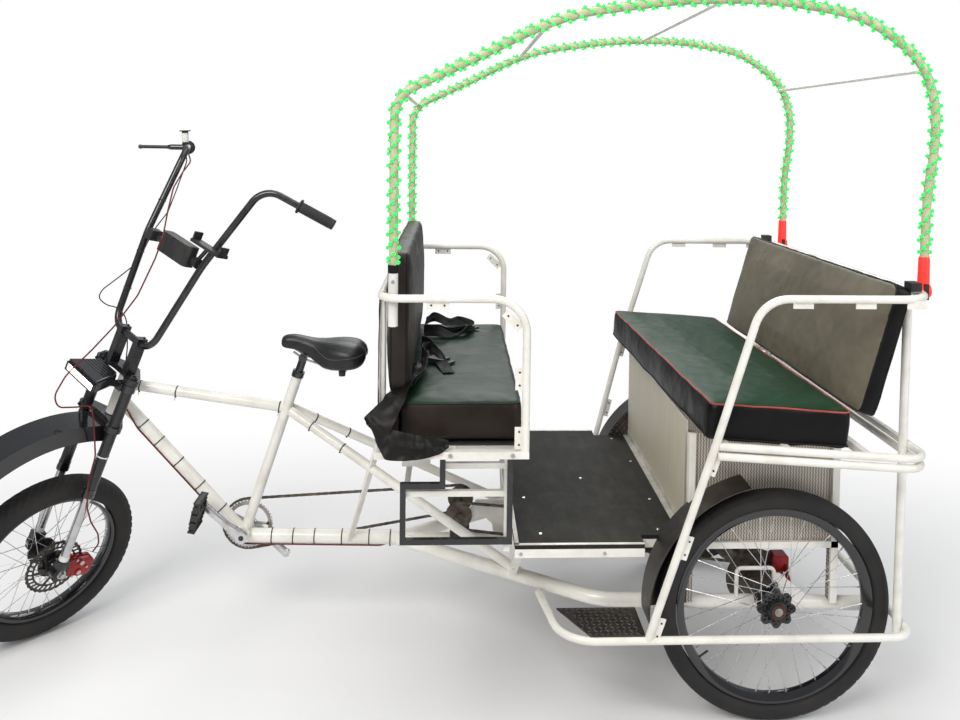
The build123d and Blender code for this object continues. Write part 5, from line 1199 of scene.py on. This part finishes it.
# Pedal: a caged block with teeth on both faces
axle = CRANK_AXLE + crank_tip
pedal_lean = math.radians(-12)
along = Vector((-math.sin(pedal_lean), 0, math.cos(pedal_lean)))
thin = Vector((along.z, 0, -along.x))
turn = turn_of(thin, ACROSS, along)
middle = axle - ACROSS * 0.124
bm = bmesh.new()
for side in (-1, 1):
    add_box(bm, middle + along * side * 0.0465, (0.0150, 0.094, 0.004), turn)
    outer = middle + ACROSS * side * 0.0455
    add_box(bm, outer, (0.0225, 0.005, 0.030), turn)
    for flip in (-1, 1):
        for k in range(10):
            add_box(bm, middle + along * side * 0.0470 + ACROSS * (-0.0445 + k * 0.0099) + thin * flip * 0.0088,
                    (0.0055, 0.0038, 0.0060), turn)
        add_box(bm, outer + along * flip * 0.026, (0.0180, 0.005, 0.030), turn)
        add_box(bm, outer + along * flip * 0.043, (0.0120, 0.005, 0.012), turn)
        for k in range(3):
            for face in (-1, 1):
                add_box(bm, outer + along * flip * (0.020 + k * 0.011) + thin * face * (0.0100 - k * 0.0016),
                        (0.0042, 0.006, 0.0060), turn)
    add_box(bm, middle + ACROSS * side * 0.018, (0.011, 0.007, 0.090), turn)
crank_rod(bm, -0.047, 0.049, 0.0098, 28, middle)
cage = piece("pedal_cage", bm, black_plastic, "pedal", smooth=False)
bm = bmesh.new()
crank_rod(bm, -0.078, -0.0685, 0.0085, 6, axle)
crank_rod(bm, -0.0700, -0.0552, 0.0058, 20, axle)
pin = piece("pedal_axle", bm, steel, "pedal")
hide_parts("pedal")
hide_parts("pedal")


# Loose belts on the bench and the vinyl flap at its near end
def strip(name, spine, width_axes, wide, thick, material, waves, seed):
    """A flat band along a spine; each point has its own width direction, and may have its own width."""
    points, axes, columns = smooth_route(spine, 10), smooth_route(width_axes, 10), 9
    widths = [wide] * len(points)
    if isinstance(wide, list):
        widths = [q.x for q in smooth_route([(w, 0, 0) for w in wide], 10)]
    bm = bmesh.new()
    sheets = [], []
    for i, (p, w) in enumerate(zip(points, axes)):
        w = w.normalized()
        n = (points[min(i + 1, len(points) - 1)] - points[max(i - 1, 0)]).cross(w).normalized()
        row = []
        for k in range(columns):
            lift = noise.noise(Vector((i * 0.16 + seed, k * 0.35, seed))) * waves
            row.append(p + w * widths[i] * (k / (columns - 1) - 0.5) + n * lift)
        for sheet, sign in zip(sheets, (-0.5, 0.5)):
            sheet.append([bm.verts.new(q + n * thick * sign) for q in row])
    low, high = sheets
    grids = [*zip(low, low[1:]), *zip(high, high[1:]), (low[0], high[0]), (low[-1], high[-1])]
    for a, b in grids:
        for k in range(columns - 1):
            bm.faces.new((a[k], a[k + 1], b[k + 1], b[k]))
    for i in range(len(points) - 1):
        for k in (0, -1):
            bm.faces.new((low[i][k], low[i + 1][k], high[i + 1][k], high[i][k]))
    piece(name, bm, material)


def above_bench(x, y, lift):
    """A point above the bench cushion."""
    hit = pad_surface["bench_seat_pad"].ray_cast(Vector((x, y, 1.2)), -UP)[0]
    return Vector((x, y, (hit.z if hit else 0.952) + lift))


def belt(name, places, width_axes, waves, seed, wide=0.036):
    strip(name, [above_bench(*place) for place in places], width_axes, wide, 0.0024, webbing, waves, seed)


belt("belt_far", [(0.015, 0.50, 0.010), (0.05, 0.45, 0.035), (0.10, 0.42, 0.020), (0.15, 0.40, 0.026),
                  (0.19, 0.35, 0.020), (0.17, 0.28, 0.024), (0.10, 0.25, 0.022), (0.05, 0.27, 0.026),
                  (0.015, 0.30, 0.020)],
     [(0.3, 0.2, 1), (0.1, 0.4, 1), (0.2, 0.7, 0.6), (0, 0.5, 0.8), (0.6, 0.2, 0.8), (0.7, -0.4, 0.7),
      (0.2, -0.6, 0.9), (0, 0.3, 1), (0, 0.1, 1)], 0.005, 3)
belt("belt_loop", [(0.02, 0.26, 0.024), (0.07, 0.20, 0.030), (0.12, 0.21, 0.012), (0.16, 0.25, 0.024),
                   (0.13, 0.32, 0.018), (0.09, 0.36, 0.006)],
     [(0, 0.2, 1), (0.1, 0.5, 0.9), (0.5, 0.8, 0.2), (0.6, 0.2, 0.8), (0.2, 0.9, 0.4), (0.8, 0.5, 0.1)], 0.004, 6)
belt("belt_middle", [(0.015, 0.08, 0.028), (0.04, 0.03, 0.030), (0.055, -0.05, 0.026), (0.075, -0.12, 0.020),
                     (0.095, -0.20, 0.006), (0.11, -0.27, 0.004)],
     [(0.1, 0.3, 1), (0.2, -0.2, 1), (0.5, 0.2, 0.8), (0.8, 0.2, 0.5), (1, 0.1, 0.1), (1, 0.2, 0)], 0.004, 8)
belt("belt_near", [(0.04, 0.00, 0.022), (0.02, -0.08, 0.034), (0.03, -0.16, 0.028), (0.035, -0.25, 0.020),
                   (0.010, -0.33, 0.012), (-0.005, -0.41, 0.010)],
     [(0.3, 0.2, 1), (0, 0.2, 1), (0.5, 0.1, 0.8), (0.4, 0, 0.9), (0.8, 0, 0.6), (0.9, 0, 0.4)], 0.004, 12, 0.040)
bm = bmesh.new()
for x, y, angle in ((0.165, 0.345, 0.5), (0.075, -0.125, -0.6)):
    base, turn = above_bench(x, y, 0.010), Matrix.Rotation(angle, 3, "Z")
    add_box(bm, base, (0.062, 0.046, 0.016), turn)
    add_box(bm, base + turn @ Vector((0.040, 0, -0.002)), (0.030, 0.034, 0.006), turn)
piece("belt_buckles", bm, black_plastic, smooth=False)

flap_spine = [(0.010, -0.200, 0.974), (0.006, -0.320, 0.978), (-0.008, -0.430, 0.980), (-0.034, -0.515, 0.966),
              (-0.058, -0.558, 0.930), (-0.084, -0.578, 0.893), (-0.084, -0.592, 0.865), (-0.050, -0.596, 0.850),
              (0.000, -0.596, 0.843), (0.045, -0.593, 0.840), (0.085, -0.588, 0.842), (0.112, -0.582, 0.846)]
flap_axes = [(0.9, 0, 0.5), (0.9, 0, 0.5), (0.9, -0.1, 0.5), (0.9, -0.4, 0.3), (0.9, -0.4, -0.1), (0.8, -0.3, -0.5),
             (0.5, -0.2, -1), (0, -0.3, -1), (0, -0.3, -1), (0, -0.3, -1), (0, -0.25, -1), (0.1, -0.2, -1)]
flap_widths = [0.050, 0.054, 0.062, 0.070, 0.076, 0.084, 0.088, 0.082, 0.072, 0.058, 0.044, 0.020]
strip("vinyl_flap", flap_spine, flap_axes, flap_widths, 0.0026, vinyl_black, 0.011, 21)


def corner_pad(name, side):
    """The cushion's cover where it bulges out under the end of the backrest."""
    bm = bmesh.new()
    centre, size = Vector((-0.056, side * 0.508, 0.889)), Vector((0.060, 0.050, 0.098))
    add_box(bm, centre, size)
    bmesh.ops.subdivide_edges(bm, edges=bm.edges, cuts=7, use_grid_fill=True)
    for v in bm.verts:
        from_centre = v.co - centre
        x, y, z = (2 * offset / full for offset, full in zip(from_centre, size))
        round_off = 1 - 0.16 * (abs(x * y) + abs(y * z) + abs(x * z)) / 3
        v.co = centre + from_centre * round_off + UP * noise.noise(v.co * 40) * 0.0015
    piece(name, bm, bench_vinyl_painted_green_top)


for side, word in SIDES:
    corner_pad(f"corner_pad_{word}", side)
strip("back_strap", [(-0.084, -0.485, 1.235), (-0.086, -0.487, 1.12), (-0.087, -0.486, 1.00), (-0.086, -0.487, 0.90),
                     (-0.085, -0.488, 0.835)], [ACROSS] * 5, 0.012, 0.002, vinyl_black, 0.002, 5)


# Floor, light and camera
def seen_rays(tree):
    """One where the ray comes from the camera or through a clear part."""
    path = add_node(tree, "LightPath").outputs
    return maths(tree, "MAXIMUM", path["Is Camera Ray"], path["Is Transmission Ray"])


def stage_plane():
    """A pale floor that keeps the shadow near the vehicle and turns white further out."""
    mesh = bpy.data.meshes.new("floor")
    mesh.from_pydata([(-40, -40, 0), (40, -40, 0), (40, 40, 0), (-40, 40, 0)], [], [(0, 1, 2, 3)])
    obj = add_object("floor", mesh)
    material, tree, bsdf = shader("floor_pale", (0.78, 0.775, 0.77), 0.9, specular=0.1)
    shape = add_node(tree, "Mapping", {"Vector": place_on(tree), "Scale": (0.55, 1.0, 1.0)}).outputs["Vector"]
    fade = add_node(tree, "MapRange", {"Value": vector_maths(tree, "LENGTH", shape), "From Min": 0.9,
                                       "From Max": 2.3}, interpolation_type="SMOOTHSTEP").outputs["Result"]
    white = add_node(tree, "Emission").outputs["Emission"]
    blend = add_node(tree, "MixShader", {0: maths(tree, "MULTIPLY", fade, seen_rays(tree)), 1: bsdf.outputs["BSDF"],
                                         2: white})
    feed(tree, tree.nodes["Material Output"], {"Surface": blend.outputs["Shader"]})
    mesh.materials.append(material)


def soft_world():
    """Soft light from all round in front of a white backdrop."""
    world = bpy.data.worlds.new("world")
    bpy.context.scene.world = world
    world.use_nodes = True
    tree = world.node_tree
    soft = tree.nodes["Background"]
    feed(tree, soft, {"Color": (0.88, 0.91, 0.95, 1), "Strength": 0.42})
    backdrop = add_node(tree, "Background", {"Color": (1, 1, 1, 1)})
    choose = add_node(tree, "MixShader", {0: seen_rays(tree), 1: soft.outputs["Background"],
                                          2: backdrop.outputs["Background"]})
    feed(tree, tree.nodes["World Output"], {"Surface": choose.outputs["Shader"]})


def area_light(name, location, target, size, power, color=(1, 1, 1)):
    data = bpy.data.lights.new(name, "AREA")
    data.shape = "DISK"
    data.size = size
    data.energy = power
    data.color = color
    obj = add_object(name, data)
    obj.location = location
    obj.rotation_euler = (Vector(target) - Vector(location)).to_track_quat("-Z", "Y").to_euler()


stage_plane()
soft_world()
area_light("key", (-2.2, -4.2, 4.6), (0.2, 0, 0.8), 3.0, 235, (1.0, 0.98, 0.95))
area_light("fill", (4.2, -3.2, 3.2), (0.3, 0, 0.8), 3.5, 110, (0.97, 0.98, 1.0))
area_light("back", (0.6, 4.6, 4.4), (0.2, 0, 1.0), 4.0, 120)
area_light("top", (0.2, -0.2, 5.4), (0.2, 0, 0), 4.0, 80)

# The camera as fitted to a picture of 960 by 720: focal length and centre in its pixels
FOCAL, CENTRE_X, CENTRE_Y, WIDE, TALL, SENSOR = 900.4, 495.5, 177.7, 960, 720, 36
EYE = (0.117, -2.998, 1.684)
yaw, pitch, roll = math.radians(2.684), math.radians(2.64), math.radians(0.747)
forward = Vector((math.sin(yaw) * math.cos(pitch), math.cos(yaw) * math.cos(pitch), -math.sin(pitch)))
level_right = Vector((math.cos(yaw), -math.sin(yaw), 0))
level_up = level_right.cross(forward)
right = math.cos(roll) * level_right + math.sin(roll) * level_up
up = -math.sin(roll) * level_right + math.cos(roll) * level_up
camera_data = bpy.data.cameras.new("camera")
camera = add_object("camera", camera_data)
camera.matrix_world = Matrix.Translation(EYE) @ turn_of(right, up, -forward).to_4x4()
camera_data.sensor_width = SENSOR
camera_data.lens = FOCAL * SENSOR / WIDE
camera_data.shift_x = (WIDE / 2 - CENTRE_X) / WIDE
camera_data.shift_y = (CENTRE_Y - TALL / 2) / WIDE
bpy.context.scene.camera = camera
bpy.context.scene.view_settings.view_transform = "Standard"
